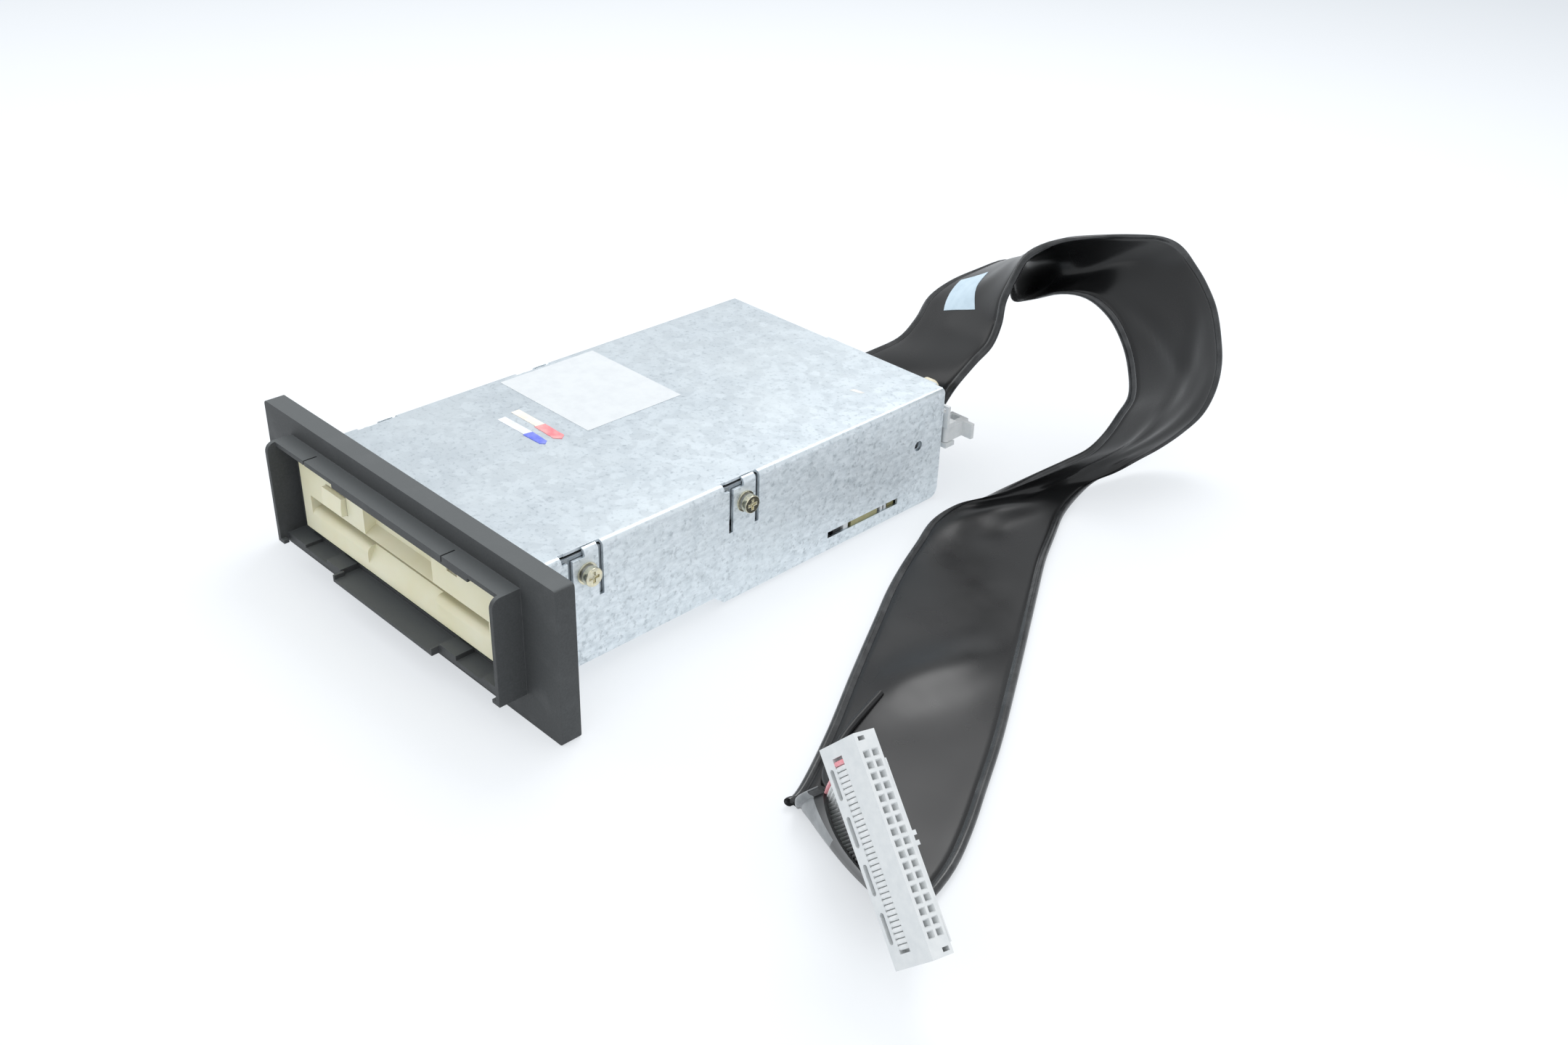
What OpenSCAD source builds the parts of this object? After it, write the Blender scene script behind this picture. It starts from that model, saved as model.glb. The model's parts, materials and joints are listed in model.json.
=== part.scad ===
/* [Bezel plate] */
// Width of the bezel plate
plate_w = 146; // [140:1:170]
// Height of the bezel plate
plate_h = 49.6; // [48:0.2:60]
// Thickness of the bezel plate
plate_t = 6.5; // [5:0.5:9]

/* [Collar] */
// Outer width of the collar in front of the plate
collar_w = 116.2; // [113:0.2:128]
// Height of the lower face of the collar floor above the stand
collar_low = 9.4; // [8.6:0.2:9.8]
// Height of the collar's upper face above the drive
collar_over = 2.7; // [2.1:0.1:5.1]
// How far the collar's side walls stand in front of the plate
collar_depth = 9.1; // [8:0.1:14]
// How far the collar's roof stands in front of the plate
collar_roof_depth = 6.2; // [5:0.1:7.6]
// Wall thickness of the collar
collar_wall = 1.5; // [1.2:0.1:2]

/* [Steel housing] */
// Sheet thickness of the housing
sheet_t = 1; // [0.8:0.1:1.2]
// Room in the housing behind the drive
rear_room = 34.7; // [32.5:0.1:46.5]
// Height of the housing's lower face behind the plate
box_front_low = 4.6; // [4.2:0.1:4.8]
// Height of the housing's lower face at the rear
box_rear_low = 1.3; // [1.2:0.1:1.6]
// Place where the lower face begins to step down
step_start = 74; // [60:1:78]
// Place where the lower face ends its step down
step_end = 78.4; // [78.2:0.1:82]
// Radius of the bend between roof and side
bend_r = 1.8; // [1.6:0.1:2.6]

/* [Drive] */
// Width of the drive
drive_w = 101.6; // [101.6:0.1:103]
// Height of the drive
drive_h = 25.4; // [25.4:0.1:25.8]
// Length of the drive behind its front face
drive_len = 146; // [144:0.5:149]
// How far the drive's front stands before the plate's front face
drive_ahead = 2.5; // [1:0.1:4]
// Height of the drive's lower face above the stand
drive_low = 15.5; // [15.3:0.1:15.7]
// Thickness of the drive's front piece
front_t = 5.5; // [5.4:0.05:5.6]

/* [Disk] */
// Width of the drive's front at each end of the disk slot
slot_side = 4.8; // [4.4:0.1:5.3]
// Height of the slot that takes a disk
slot_h = 4.5; // [4.4:0.05:4.6]
// How far the carrier drops when a disk is loaded
carrier_drop = 2.5; // [2.2:0.1:2.5]
// How far the eject button travels
eject_travel = 5; // [4:0.1:5]
// How far the heads travel over the tracks
head_travel = 15; // [12:0.5:15]

/* [Connectors] */
// Number of contact pairs in each ribbon connector
pairs = 17; // [13:1:17]
// Spacing of the contacts
pitch = 2.54; // [2.5:0.01:2.56]
// Thickness of a ribbon socket across its two rows
socket_t = 6.1; // [5.9:0.1:6.3]
// Length of a ribbon socket's body in the plugging direction
socket_body = 9.9; // [9.6:0.1:10.2]
// Thickness of the ribbon
ribbon_t = 0.95; // [0.85:0.05:0.98]
// Distance from the drive's side to the middle of the ribbon connectors
socket_in = 29.8; // [29.6:0.1:30.8]

/* [Flat cable] */
// Width of the sleeve
sleeve_w = 48; // [44:0.5:48]
// Thickness of the sleeve at its beaded edges
sleeve_bead_t = 2.6; // [2:0.1:2.8]
// Thickness of the sleeve between its edges
sleeve_mid_t = 1.8; // [1.4:0.1:2]

/* [Hidden] */
$fn = 48;

// Overrun of cuts, and the gap between parts that only touch
cut = 0.5;
seat_gap = 0.1;
fit_gap = 0.05;

// The plate's edge rounding, its opening and the lugs behind it
plate_edge_r = 1.2;
opening_gap = 0.6;
opening_low = 11.6;
lug_w = 8;
lug_len = 12.5;
lug_h = 5.6;
lug_x = 32;
lug_hole_y = 6.5;

// The collar floor: ledges, low runs, pads and the tongue
floor_t = 1.2;
floor_depth = 6.4;
low_top = 10.8;
ledge_top = 11.9;
pad_top = 12.3;
tongue_top = 10.4;
tongue_front = 9.1;
tongue_half = 26;
pad_outer = 34;
run_outer = 46.2;
tongue_lip_w = 0.9;
tongue_lip_h = 1.4;
foot_w = 3.4;
foot_depth = 1.8;
collar_corner_r = 2.9;
slit_w = 0.5;
slit_len = 4.6;
slit_left = -40.5;
slit_right = 30.7;
rim_rib_h = 1.2;
rim_rib_left = -25;
rim_rib_right = 43;
rim_rib_t = 1.1;

// The drive in its housing
side_gap = 0.2;
roof_gap = 0.1;
drive_top = drive_low + drive_h;
collar_top = drive_top + collar_over;
box_top = drive_top + roof_gap + sheet_t;
drive_half = drive_w / 2;
box_half = drive_half + side_gap + sheet_t;
wall_in = box_half - sheet_t;
box_rear = drive_len - drive_ahead + rear_room;
slot_w = drive_w - 2 * slot_side;
socket_x = drive_half - socket_in;

// The disk's room in the drive ends this far before the drive's rear, and the spindle is in its middle
tail_len = 46;
carrier_rear = drive_len - tail_len;
spindle_y = carrier_rear / 2;
corner_r = 3.5;
rear_bump = 0.6;
rear_bump_z = 10.5;

// Screws and washers of the drive, and the sprung tabs that they hold
screw_r = 1.45;
thread_r = 1.5;
side_screw_y = [26.5, 86.5];
side_screw_drop = 6.7;
side_hole_r = 1.7;
side_screw_len = 7;
side_head_r = 2.9;
side_head_h = 2;
flat_washer_r = 3.4;
flat_washer_t = 0.5;
spring_washer_r = 2.8;
spring_washer_t = 0.8;
washer_hole_r = 1.6;
cross_w = 0.8;
cross_len = 3.4;
cross_depth = 1.1;
tab_low = 25.2;
tab_slit = 0.6;
tab_gap = 1.6;
tab_left = 4.8;
tab_right = 4.2;
tab_roof_from = 7;
tab_roof_in = 1.8;
tab_hole_from = 5;
tab_hole_to = 0.6;
tab_hole_h = 2.4;
square_hole_from = 8.4;
square_hole_to = tab_left + tab_gap;

// Side slot and rear hole of the housing
side_slot_back = 20.7;
side_slot_len = 33.7;
side_slot_to = box_rear - side_slot_back;
side_slot_from = side_slot_to - side_slot_len;
side_slot_z = 6.9;
side_slot_h = 2.2;
rear_hole_back = 11.9;
rear_hole_y = box_rear - rear_hole_back;
rear_hole_z = 24.6;
rear_hole_r = 1.8;

// Base of the housing
base_gap = 0.1;
base_flange_h = 5.2;
base_flange_front = [10, 70];
base_flange_rear = [82, 120];
base_head_r = 2.75;
bezel_head_h = 1.6;
bezel_screw_len = 6;
base_head_h = 1.2;
base_screw_x = 24;
base_screw_back = 7.2;
base_screw_y = box_rear - base_screw_back;
base_screw_len = 2;

// Rear panel with its ears, flange and the tab behind the roof
panel_low = 2.3;
panel_top = 38;
panel_tab_left = -3.2;
panel_tab_in = 4.6;
panel_tab_right = box_half - panel_tab_in;
panel_ear_len = 18;
panel_ear_h = 13;
panel_flange_len = 12;
panel_flange_half = 30;
guard_in = 4.8;
guard_w = 7.2;
guard_right = box_half - guard_in;
guard_left = guard_right - guard_w;
guard_low = 36;
guard_t = 1.6;
guard_r = 2.4;

// Label on the roof
label_in = 3.5;
label_w = 46;
label_left = label_in - box_half;
label_right = label_left + label_w;
label_front = 70.5;
label_rear = 109;
label_t = 0.12;

// Front piece of the drive, measured up from the drive's own underside
slot_low = 12.8;
lip_round = 2.4;
scoop_left = -19.6;
scoop_right = 15.2;
scoop_depth = 3.8;
scoop_crease = 10.6;
bevel_depth = 3;
bevel_rise = 5.4;
button_side = 15.5;
button_w = 10.8;
button_left = drive_half - button_side - button_w;
button_low = 4.6;
button_h = 5.9;
button_gap = 0.25;
button_out = 1.9;
button_len = 8.4;
button_dish = 0.5;
stem_in = 2.4;
stem_rise = 1.2;
stem_h = 3;
led_side = 18.7;
led_left = led_side - drive_half;
led_w = 4.8;
led_low = 3.1;
led_h = 2.1;

// Flap behind the slot
flap_axis_y = 6.7;
flap_axis_z = 18.4;
flap_side = 1;
flap_half = slot_w / 2 - flap_side;
flap_t = 0.9;
flap_r = 1;
flap_low = 13;
flap_pin_r = 0.6;
flap_ear_gap = 0.3;
flap_ear_t = 2;
flap_ear_in = slot_w / 2 + flap_ear_gap;
flap_ear_out = flap_ear_in + flap_ear_t;
flap_ear_r = 1.6;
flap_spring_len = 2.6;
flap_spring_r = 1.15;
flap_spring_bore = 0.75;

// Chassis of the drive
wall_t = 1.2;
cover_t = 0.8;
chassis_floor = 3.8;
chassis_floor_t = 1;
motor_room = 26.1;
chassis_floor_end = drive_len - motor_room;
wall_low = 0.3;
block_in = 3.8;
block_half = 5;
block_top = 9.6;
bridge_back = 2;
bridge_y = carrier_rear + bridge_back;
bridge_len = 2;
bridge_low = 20.8;
board_ledge_in = 5.1;
board_ledge_len = 13;
board_ledge_back = 12;
board_ledge_to = drive_len - board_ledge_back;
board_ledge_from = board_ledge_to - board_ledge_len;
chassis_top = drive_h - cover_t;
floor_top = chassis_floor + chassis_floor_t;

// Disk carrier and its pins
disk_low = 13.4;
carrier_front = 13;
carrier_in = 4.5;
carrier_half = drive_half - carrier_in;
carrier_sheet = 0.8;
carrier_rail = 4.3;
carrier_room = 4.4;
window_half = 10;
window_behind = 12;
window_from = spindle_y + window_behind;
pin_r = 1.2;
pin_z = 15.6;
pin_front = 30;
pin_rear_in = 16;
pin_y = [pin_front, carrier_rear - pin_rear_in];
pin_gap = 0.1;
pin_end_gap = 0.4;

// Eject slider
slider_low = 19.2;
slider_t = 0.8;
slider_front = 14;
slider_short = 2;
slider_rear = carrier_rear - slider_short;
slider_in = 2.6;
slider_half = drive_half - slider_in;
slider_flange_low = 10.6;
bar_y = 12.5;
bar_low = 5.6;
bar_h = 3.8;
bar_in = 0.5;
bar_left = button_left + bar_in;
spring_in = 4.2;
spring_x = slider_half - spring_in;
spring_len = 42.4;
spring_y = bridge_y - spring_len;
spring_z = 22.2;
spring_r = 1.4;
spring_bore = 0.9;
post_t = 1.4;
post_h = 3.2;

// Lever that opens the disk's shutter
lever_in = 10.8;
lever_x = lever_in - drive_half;
lever_back = 8;
lever_y = carrier_rear + lever_back;
lever_low = 13.4;
lever_t = 0.8;
lever_r = 3.2;
lever_tip_r = 2.2;
lever_len = 27.8;
lever_angle = -59.7;
lever_post_r = 2.5;
lever_pin_top = 15;

// Spindle and its motor
shaft_r = 1.47;
shaft_bore_r = 1.52;
bearing_r = 3.98;
bearing_low = 3;
bearing_top = 8.6;
bearing_flange_r = 6;
bearing_flange_t = 0.8;
rotor_r = 26;
rotor_low = 0.6;
rotor_top = 2.3;
rotor_boss_r = 5;
rotor_boss_top = 2.9;
rotor_holes = 6;
rotor_hole_r = 2.5;
rotor_hole_circle = 16;
hub_r = 13;
hub_low = 9.2;
hub_top = 11.9;
hub_pin_r = 1;
hub_pin_circle = 10;
hub_pin_top = 12.4;
stator_half = 30;
stator_ahead = 28;
stator_behind = 30;
stator_from = spindle_y - stator_ahead;
stator_to = spindle_y + stator_behind;
stator_t = 0.8;
stator_hole_r = 6.2;
coils = 9;
coil_r = 4.2;
coil_circle = 17;
coil_t = 0.4;

// Heads, carriage, rods and screw
rod_x = 13;
rod_r = 1.5;
rod_z = 8.5;
rod_behind = 16;
rod_back = 31;
rod_from = spindle_y + rod_behind;
rod_to = drive_len - rod_back;
rod_lug_len = 3;
rod_lug_half = 2.2;
carriage_back = 60;
carriage_y = drive_len - carriage_back;
carriage_len = 22;
carriage_half = 16;
carriage_low = 6;
carriage_top = 10.6;
head_in = 3.5;
head_y = carriage_y + head_in;
head_r = 3;
lower_head_top = 12.4;
arm_half = 7;
arm_ahead = 2;
arm_from = carriage_y - arm_ahead;
arm_low = 17.6;
arm_t = 1.2;
arm_leg_len = 5;
arm_axis_in = 18;
arm_axis_y = carriage_y + arm_axis_in;
arm_axis_z = 14.4;
arm_pin_r = 0.8;
arm_pin_bore = 0.85;
arm_ear_in = 7.3;
arm_ear_t = 1.6;
arm_ear_half = 2;
upper_head_low = 16.9;
screw_x = -24;
screw_z = 8.6;
lead_r = 1.4;
lead_root_r = 1.15;
lead_pitch = 3.75;
lead_bore = 1.45;
nut_r = 2.15;
nut_in = 12;
nut_from = carriage_y + nut_in;
nut_len = 8;
stepper_r = 6.9;
stepper_len = 14;
stepper_plate_t = 1.2;
stepper_plate_half = 9;
stepper_boss_r = 3;
stepper_boss_len = 1;

// Main board of the drive and its connectors
board_t = 1.6;
main_low = 1.4;
main_in = 4.8;
main_half = drive_half - main_in;
main_behind = 16;
main_from = spindle_y + rotor_r + main_behind;
main_short = 2;
main_to = drive_len - main_short;
header_wall = 1.2;
header_end = 2.5;
header_depth = 8;
header_floor = 2;
header_gap = 0.3;
pin_side = 0.6;
hole_side = 0.95;
pin_stick = 6.5;
key_w = 4.4;
key_h = 0.9;
drive_header_back = 10;
drive_header_y = drive_len - drive_header_back;
power_left = 18;
power_w = 12;
power_back_in = 9;
power_from = drive_len - power_back_in;
power_len = 8;
power_h = 6;
power_plug_len = 6;
lead_w = 9;
lead_t = 1.6;
lead_bend = 4;
lead_run = 3.5;

// Ribbon sockets
socket_end = 3.9;
socket_len = (pairs - 1) * pitch + 2 * socket_end + pitch;
relief_t = 2.9;
ribbon_gap = 0.05;
ribbon_w = (2 * pairs) * pitch / 2;
hole_depth = 7.5;
relief_grooves = 4;
groove_len = 8.6;
groove_w = 1;
groove_depth = 0.6;
nub_w = 4;
nub_h = 0.9;
nub_len = 3;

// Adapter board in the lower part of the housing
adapter_low = 6.2;
adapter_in = 5;
adapter_half = wall_in - adapter_in;
adapter_behind = 17.6;
adapter_from = step_end + adapter_behind;
adapter_back = 6.2;
adapter_to = box_rear - adapter_back;
spacer_r = 2.6;
spacer_in = 5;
spacer_x = adapter_half - spacer_in;
spacer_front = 6;
spacer_rear = 9;
spacer_y = [adapter_from + spacer_front, adapter_to - spacer_rear];
board_head_r = 2.7;
board_head_h = 1.5;
supply_len = 8;
supply_h = 6.2;

// Rear header with its latches
rear_header_z = 24;
rear_header_in = 8.2;
rear_header_out = 5.8;
rear_header_from = box_rear - rear_header_in;
rear_header_to = box_rear + rear_header_out;
header_lip = 2;
header_lip_t = 1.2;
ear_w = 3.9;
ear_t = 1.6;
ear_out = 1.2;
ear_from = box_rear + ear_out;
latch_axis_in = 2;
latch_axis_out = 3.1;
latch_axis_y = box_rear + latch_axis_out;
latch_pin_r = 0.78;
latch_bore = 0.85;
latch_t = 2.6;
latch_round_out = 1.7;
latch_out = 13.3;
latch_from = box_rear + latch_round_out;
latch_to = box_rear + latch_out;
latch_gap = 0.2;
hook_t = 1.2;
hook_reach = 4.7;
finger_len = 4;
finger_t = 1.5;
finger_back = 1.6;
tag_top = 35;
tag_t = 1.2;
tag_w = 3.8;
tag_hole_r = 0.9;

// Where the cable's connector lies and how it is turned
connector_at = [184.2, 8.5, 35.3];
connector_roll = -103.7;
connector_pitch = 40.9;
connector_yaw = -17.6;

// Route of the flat cable: its middle, then the direction of its width, from the plug to its mouth
CABLE = [
    [21, 186.7, 27.05, 24, 0, 0],
    [21, 186.7, 28.05, 24, 0, 0],
    [21.5, 188, 30.5, 23.5, -1, 0.5],
    [25, 193, 35.5, 23.5, -4.5, 3],
    [29, 200, 41.5, 22.5, -6.5, 5],
    [31, 206, 47.5, 22.5, -7, 4.5],
    [31.5, 210.5, 54.5, 22.5, -8, 4.5],
    [33, 215, 61, 20.5, -11, 6],
    [37, 220, 67.5, 18, -13.5, 8],
    [41, 223.5, 72.5, 16, -15, 9.5],
    [45.5, 225, 75, 16, -14, 11.5],
    [50.5, 224.5, 76, 17, -9.5, 14],
    [57, 224.5, 76, 18, -2, 15.5],
    [64, 225.5, 76, 17, 7.5, 15],
    [71, 229.5, 77, 13.5, 16.5, 11],
    [77, 234.5, 77, 9, 21.5, 5.5],
    [82, 239.5, 74, 5, 23.5, 2],
    [87.5, 243.5, 67.5, 3, 24, 1],
    [92, 246.5, 58.5, 2.5, 24, 1],
    [95, 248, 48.5, 2.5, 24, 0.5],
    [96.5, 248.5, 39, 3, 24, 0],
    [95.5, 247, 30.5, 4.5, 23.5, -1],
    [93.5, 244, 22.5, 5, 23.5, -1.5],
    [90.5, 239, 16.5, 4.5, 23.5, -2],
    [86.5, 232.5, 12, 4.5, 23.5, -3],
    [82.5, 224, 8.5, 5, 23, -3],
    [79.5, 214.5, 6, 6.5, 23, -2.5],
    [77, 203.5, 4.5, 7.5, 22.5, -2],
    [76, 192, 3.6, 10.5, 21.5, -1.5],
    [78, 179.5, 2.8, 12.5, 20.5, -1],
    [83.5, 166.5, 2.2, 13.5, 20, -0.5],
    [90, 152, 1.8, 14.5, 19, 0],
    [98, 137, 1.7, 16, 18, 0],
    [106, 123, 1.7, 16.5, 17.5, 0],
    [122, 95, 1.7, 17.5, 16.5, 0],
    [136, 70.5, 1.7, 17.5, 16.5, 0],
    [147.5, 48, 1.7, 18, 16, 0],
    [151.5, 38, 1.8, 21, 11, 0],
    [155, 29.5, 2, 25, 0.5, 0],
    [157.2, 24.3, 3.2, 27, -4, 0],
    [159, 21.2, 6.5, 26.5, -6, -1],
    [164.5, 21.5, 12, 24, -6.6, -1.4]
];

// Route of the bare ribbon from that mouth through the connector
RIBBON = [
    [164.5, 21.5, 12, 24, -6.6, -1.4],
    [167, 19.5, 15, 22, -6.5, -6],
    [170.5, 17.5, 18.5, 20, -6.5, -11],
    [174, 15.8, 21.8, 18.5, -6.2, -14],
    [176.6, 14.4, 24.4, 17.3, -5.5, -15.7],
    [177.7, 12.8, 26.3, 17.3, -5.5, -15.7],
    [177.6, 11.1, 27.1, 17.3, -5.5, -15.7],
    [176.7, 5.2, 28.2, 17.3, -5.5, -15.7]
];

// The whole stands on the middle of its footprint
front_end = -collar_depth;
rear_end = latch_to;
mid_y = (front_end + rear_end) / 2;

module place() {
    translate([0, -mid_y, 0]) children();
}

// The drive lies with its underside up, so its own frame is turned over
module in_drive() {
    place() translate([0, -drive_ahead, drive_top]) rotate([0, 180, 0]) children();
}

// A box given by its lowest and highest corner
module block(low, high) {
    translate(low) cube(high - low);
}

// A cylinder along X, Y or Z from one place to another
module rod_along_x(r, x0, x1, y, z) {
    translate([x0, y, z]) rotate([0, 90, 0]) cylinder(r = r, h = x1 - x0);
}

module rod_along_y(r, x, y0, y1, z) {
    translate([x, y1, z]) rotate([90, 0, 0]) cylinder(r = r, h = y1 - y0);
}

module rod_along_z(r, x, y, z0, z1) {
    translate([x, y, z0]) cylinder(r = r, h = z1 - z0);
}

// A side view of Y and Z points, thickened along X
module side_view(points, x0, x1) {
    translate([x0, 0, 0]) rotate([90, 0, 90]) linear_extrude(x1 - x0) polygon(points);
}

// Corner points of a quarter circle
function arc(centre, r, from, to, steps = 6) = [
    for (i = [0 : steps]) let (a = from + (to - from) * i / steps)
        [centre[0] + r * cos(a), centre[1] + r * sin(a)]
];

// Outline of the housing's side in Y and Z
box_outline = concat(
    [[plate_t, box_front_low], [step_start, box_front_low], [step_end, box_rear_low]],
    arc([box_rear - corner_r, box_rear_low + corner_r], corner_r, -90, 0),
    [[box_rear, box_top], [plate_t, box_top]]
);

// Front bezel: plate, collar and stepped floor
module plate_outline() {
    r = plate_edge_r;
    union() {
        translate([-plate_w / 2 + r, 0]) square([plate_w - 2 * r, plate_h]);
        translate([-plate_w / 2, r]) square([plate_w, plate_h - 2 * r]);
        for (x = [-plate_w / 2 + r, plate_w / 2 - r], z = [r, plate_h - r])
            translate([x, z]) circle(r = r);
    }
}

module floor_run(x0, x1, top, depth) {
    for (s = [-1, 1])
        block([s > 0 ? x0 : -x1, -depth, collar_low], [s > 0 ? x1 : -x0, 0, top]);
}

module collar_side(s) {
    x0 = s > 0 ? collar_w / 2 - collar_wall : -collar_w / 2;
    r = collar_corner_r;
    side_view(concat(
        [[0, collar_low], [-collar_depth, collar_low]],
        arc([r - collar_depth, collar_top - r], r, 180, 90),
        [[0, collar_top]]
    ), x0, x0 + collar_wall);
}

module front_bezel() {
    color("#4a4c4e") place() difference() {
        union() {
            translate([0, plate_t, 0]) rotate([90, 0, 0]) linear_extrude(plate_t) plate_outline();
            for (s = [-1, 1]) collar_side(s);
            block([-collar_w / 2, -collar_roof_depth, collar_top - collar_wall],
                  [collar_w / 2, 0, collar_top]);
            block([rim_rib_left, -collar_roof_depth, collar_top - collar_wall - rim_rib_h],
                  [rim_rib_right, -collar_roof_depth + rim_rib_t, collar_top - collar_wall]);
            floor_run(run_outer, collar_w / 2 - collar_wall, ledge_top, floor_depth);
            floor_run(pad_outer, run_outer, low_top, floor_depth);
            floor_run(tongue_half, pad_outer, pad_top, floor_depth);
            block([-tongue_half, -tongue_front, collar_low], [tongue_half, 0, tongue_top]);
            for (s = [-1, 1])
                translate([s * (tongue_half - tongue_lip_w / 2), 0, 0])
                    block([-tongue_lip_w / 2, -tongue_front, tongue_top],
                          [tongue_lip_w / 2, -floor_depth + tongue_lip_w, tongue_top + tongue_lip_h]);
            for (s = [-1, 1])
                translate([s * (collar_w / 2 - foot_w / 2), 0, 0])
                    block([-foot_w / 2, -collar_depth, collar_low],
                          [foot_w / 2, -collar_depth + foot_depth, collar_low + floor_t]);
            for (s = [-1, 1])
                translate([s * lug_x, plate_t, box_front_low + sheet_t])
                    block([-lug_w / 2, -plate_t / 2, 0], [lug_w / 2, lug_len, lug_h]);
        }
        block([-drive_half - opening_gap, -cut, opening_low],
              [drive_half + opening_gap, plate_t + cut, drive_top + roof_gap + opening_gap]);
        for (x = [slit_left, slit_right])
            block([x, -collar_roof_depth - cut, collar_top - collar_wall - cut],
                  [x + slit_w, -collar_roof_depth + slit_len, collar_top + cut]);
        for (s = [-1, 1])
            rod_along_z(thread_r, s * lug_x, plate_t + lug_hole_y, 0, box_front_low + sheet_t + lug_h + cut);
    }
}

// A screw along Z with its head below
module screw_up(r, head_r, head_h, len) {
    difference() {
        union() {
            cylinder(r = r, h = len);
            translate([0, 0, -head_h]) cylinder(r = head_r, h = head_h);
        }
        cross_slot(-head_h);
    }
}

// A cross recess in a head whose outer face lies at the given height, with the screw above it
module cross_slot(face) {
    for (turn = [0, 90])
        translate([0, 0, face]) rotate([0, 0, turn])
            block([-cross_len / 2, -cross_w / 2, -cut], [cross_len / 2, cross_w / 2, cross_depth - cross_w / 2]);
}

module bezel_screws() {
    color("#c9b26a") place() for (s = [-1, 1])
        translate([s * lug_x, plate_t + lug_hole_y, box_front_low])
            screw_up(screw_r, base_head_r, bezel_head_h, bezel_screw_len);
}

// Steel housing: one sheet bent over roof and sides
module channel(r_out, half, top) {
    r = r_out;
    union() {
        translate([-half, 0]) square([2 * half, top - r]);
        translate([-half + r, 0]) square([2 * (half - r), top]);
        for (s = [-1, 1]) translate([s * (half - r), top - r]) circle(r = r);
    }
}

module tab_cuts(s, y) {
    x0 = s > 0 ? wall_in - cut : -box_half - cut;
    x1 = s > 0 ? box_half + cut : -wall_in + cut;
    roof = box_top + cut;
    block([x0, y - tab_left - tab_gap, tab_low], [x1, y - tab_left, roof]);
    block([x0, y + tab_right, tab_low], [x1, y + tab_right + tab_gap, roof]);
    translate([s * (box_half - tab_roof_in), 0, 0])
        block([-tab_slit / 2, y - tab_roof_from, box_top - sheet_t - cut],
              [tab_slit / 2, y + tab_right + tab_gap, roof]);
    translate([s * (box_half - tab_roof_in / 2), 0, 0]) {
        block([-tab_roof_in / 2, y - tab_hole_from, box_top - tab_hole_h],
              [tab_roof_in / 2 + cut, y - tab_hole_to, roof]);
        block([-tab_roof_in / 2 - cut, y - square_hole_from, box_top - tab_hole_h],
              [tab_roof_in / 2 + cut, y - square_hole_to, roof]);
    }
    rod_along_x(side_hole_r, x0, x1, y, drive_top - side_screw_drop);
}

module housing_cover() {
    color("#c3cbd2") place() difference() {
        intersection() {
            difference() {
                translate([0, box_rear, 0]) rotate([90, 0, 0])
                    linear_extrude(box_rear - plate_t) channel(bend_r, box_half, box_top);
                translate([0, box_rear + cut, -cut]) rotate([90, 0, 0])
                    linear_extrude(box_rear - plate_t + 2 * cut)
                        channel(bend_r - sheet_t, wall_in, box_top - sheet_t + cut);
            }
            side_view(box_outline, -box_half - cut, box_half + cut);
        }
        for (s = [-1, 1], y = side_screw_y) tab_cuts(s, y);
        rod_along_x(rear_hole_r, -box_half - cut, box_half + cut, rear_hole_y, rear_hole_z);
        block([-box_half - cut, side_slot_from, side_slot_z - side_slot_h / 2],
              [box_half + cut, side_slot_to, side_slot_z + side_slot_h / 2]);
    }
}

// Floor sheet of the housing with two turned-up edges on each side
base_outline = [
    [plate_t + base_gap, box_front_low], [step_start, box_front_low], [step_end, box_rear_low],
    [box_rear, box_rear_low], [box_rear, box_rear_low + sheet_t],
    [step_end + sheet_t / 2, box_rear_low + sheet_t], [step_start + sheet_t / 2, box_front_low + sheet_t],
    [plate_t + base_gap, box_front_low + sheet_t]
];
base_half = wall_in - base_gap;

module housing_base() {
    color("#b9c1c8") place() difference() {
        union() {
            difference() {
                side_view(base_outline, -base_half, base_half);
                for (s = [-1, 1]) translate([s * (base_half + cut), box_rear, 0])
                    block([-corner_r - cut, -corner_r, 0], [corner_r + cut, cut, box_rear_low + sheet_t + cut]);
            }
            for (s = [-1, 1]) translate([s * (base_half - sheet_t / 2), 0, 0]) {
                block([-sheet_t / 2, base_flange_front[0], box_front_low],
                      [sheet_t / 2, base_flange_front[1], box_front_low + sheet_t + base_flange_h]);
                block([-sheet_t / 2, base_flange_rear[0], box_rear_low],
                      [sheet_t / 2, base_flange_rear[1], box_rear_low + sheet_t + base_flange_h]);
            }
        }
        for (s = [-1, 1]) {
            rod_along_z(thread_r, s * lug_x, plate_t + lug_hole_y, 0, box_front_low + 2 * sheet_t);
            rod_along_z(thread_r, s * base_screw_x, base_screw_y, 0, box_rear_low + 2 * sheet_t);
        }
        for (s = [-1, 1], y = spacer_y)
            rod_along_z(thread_r, s * spacer_x, y, 0, box_rear_low + 2 * sheet_t);
    }
}

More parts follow.
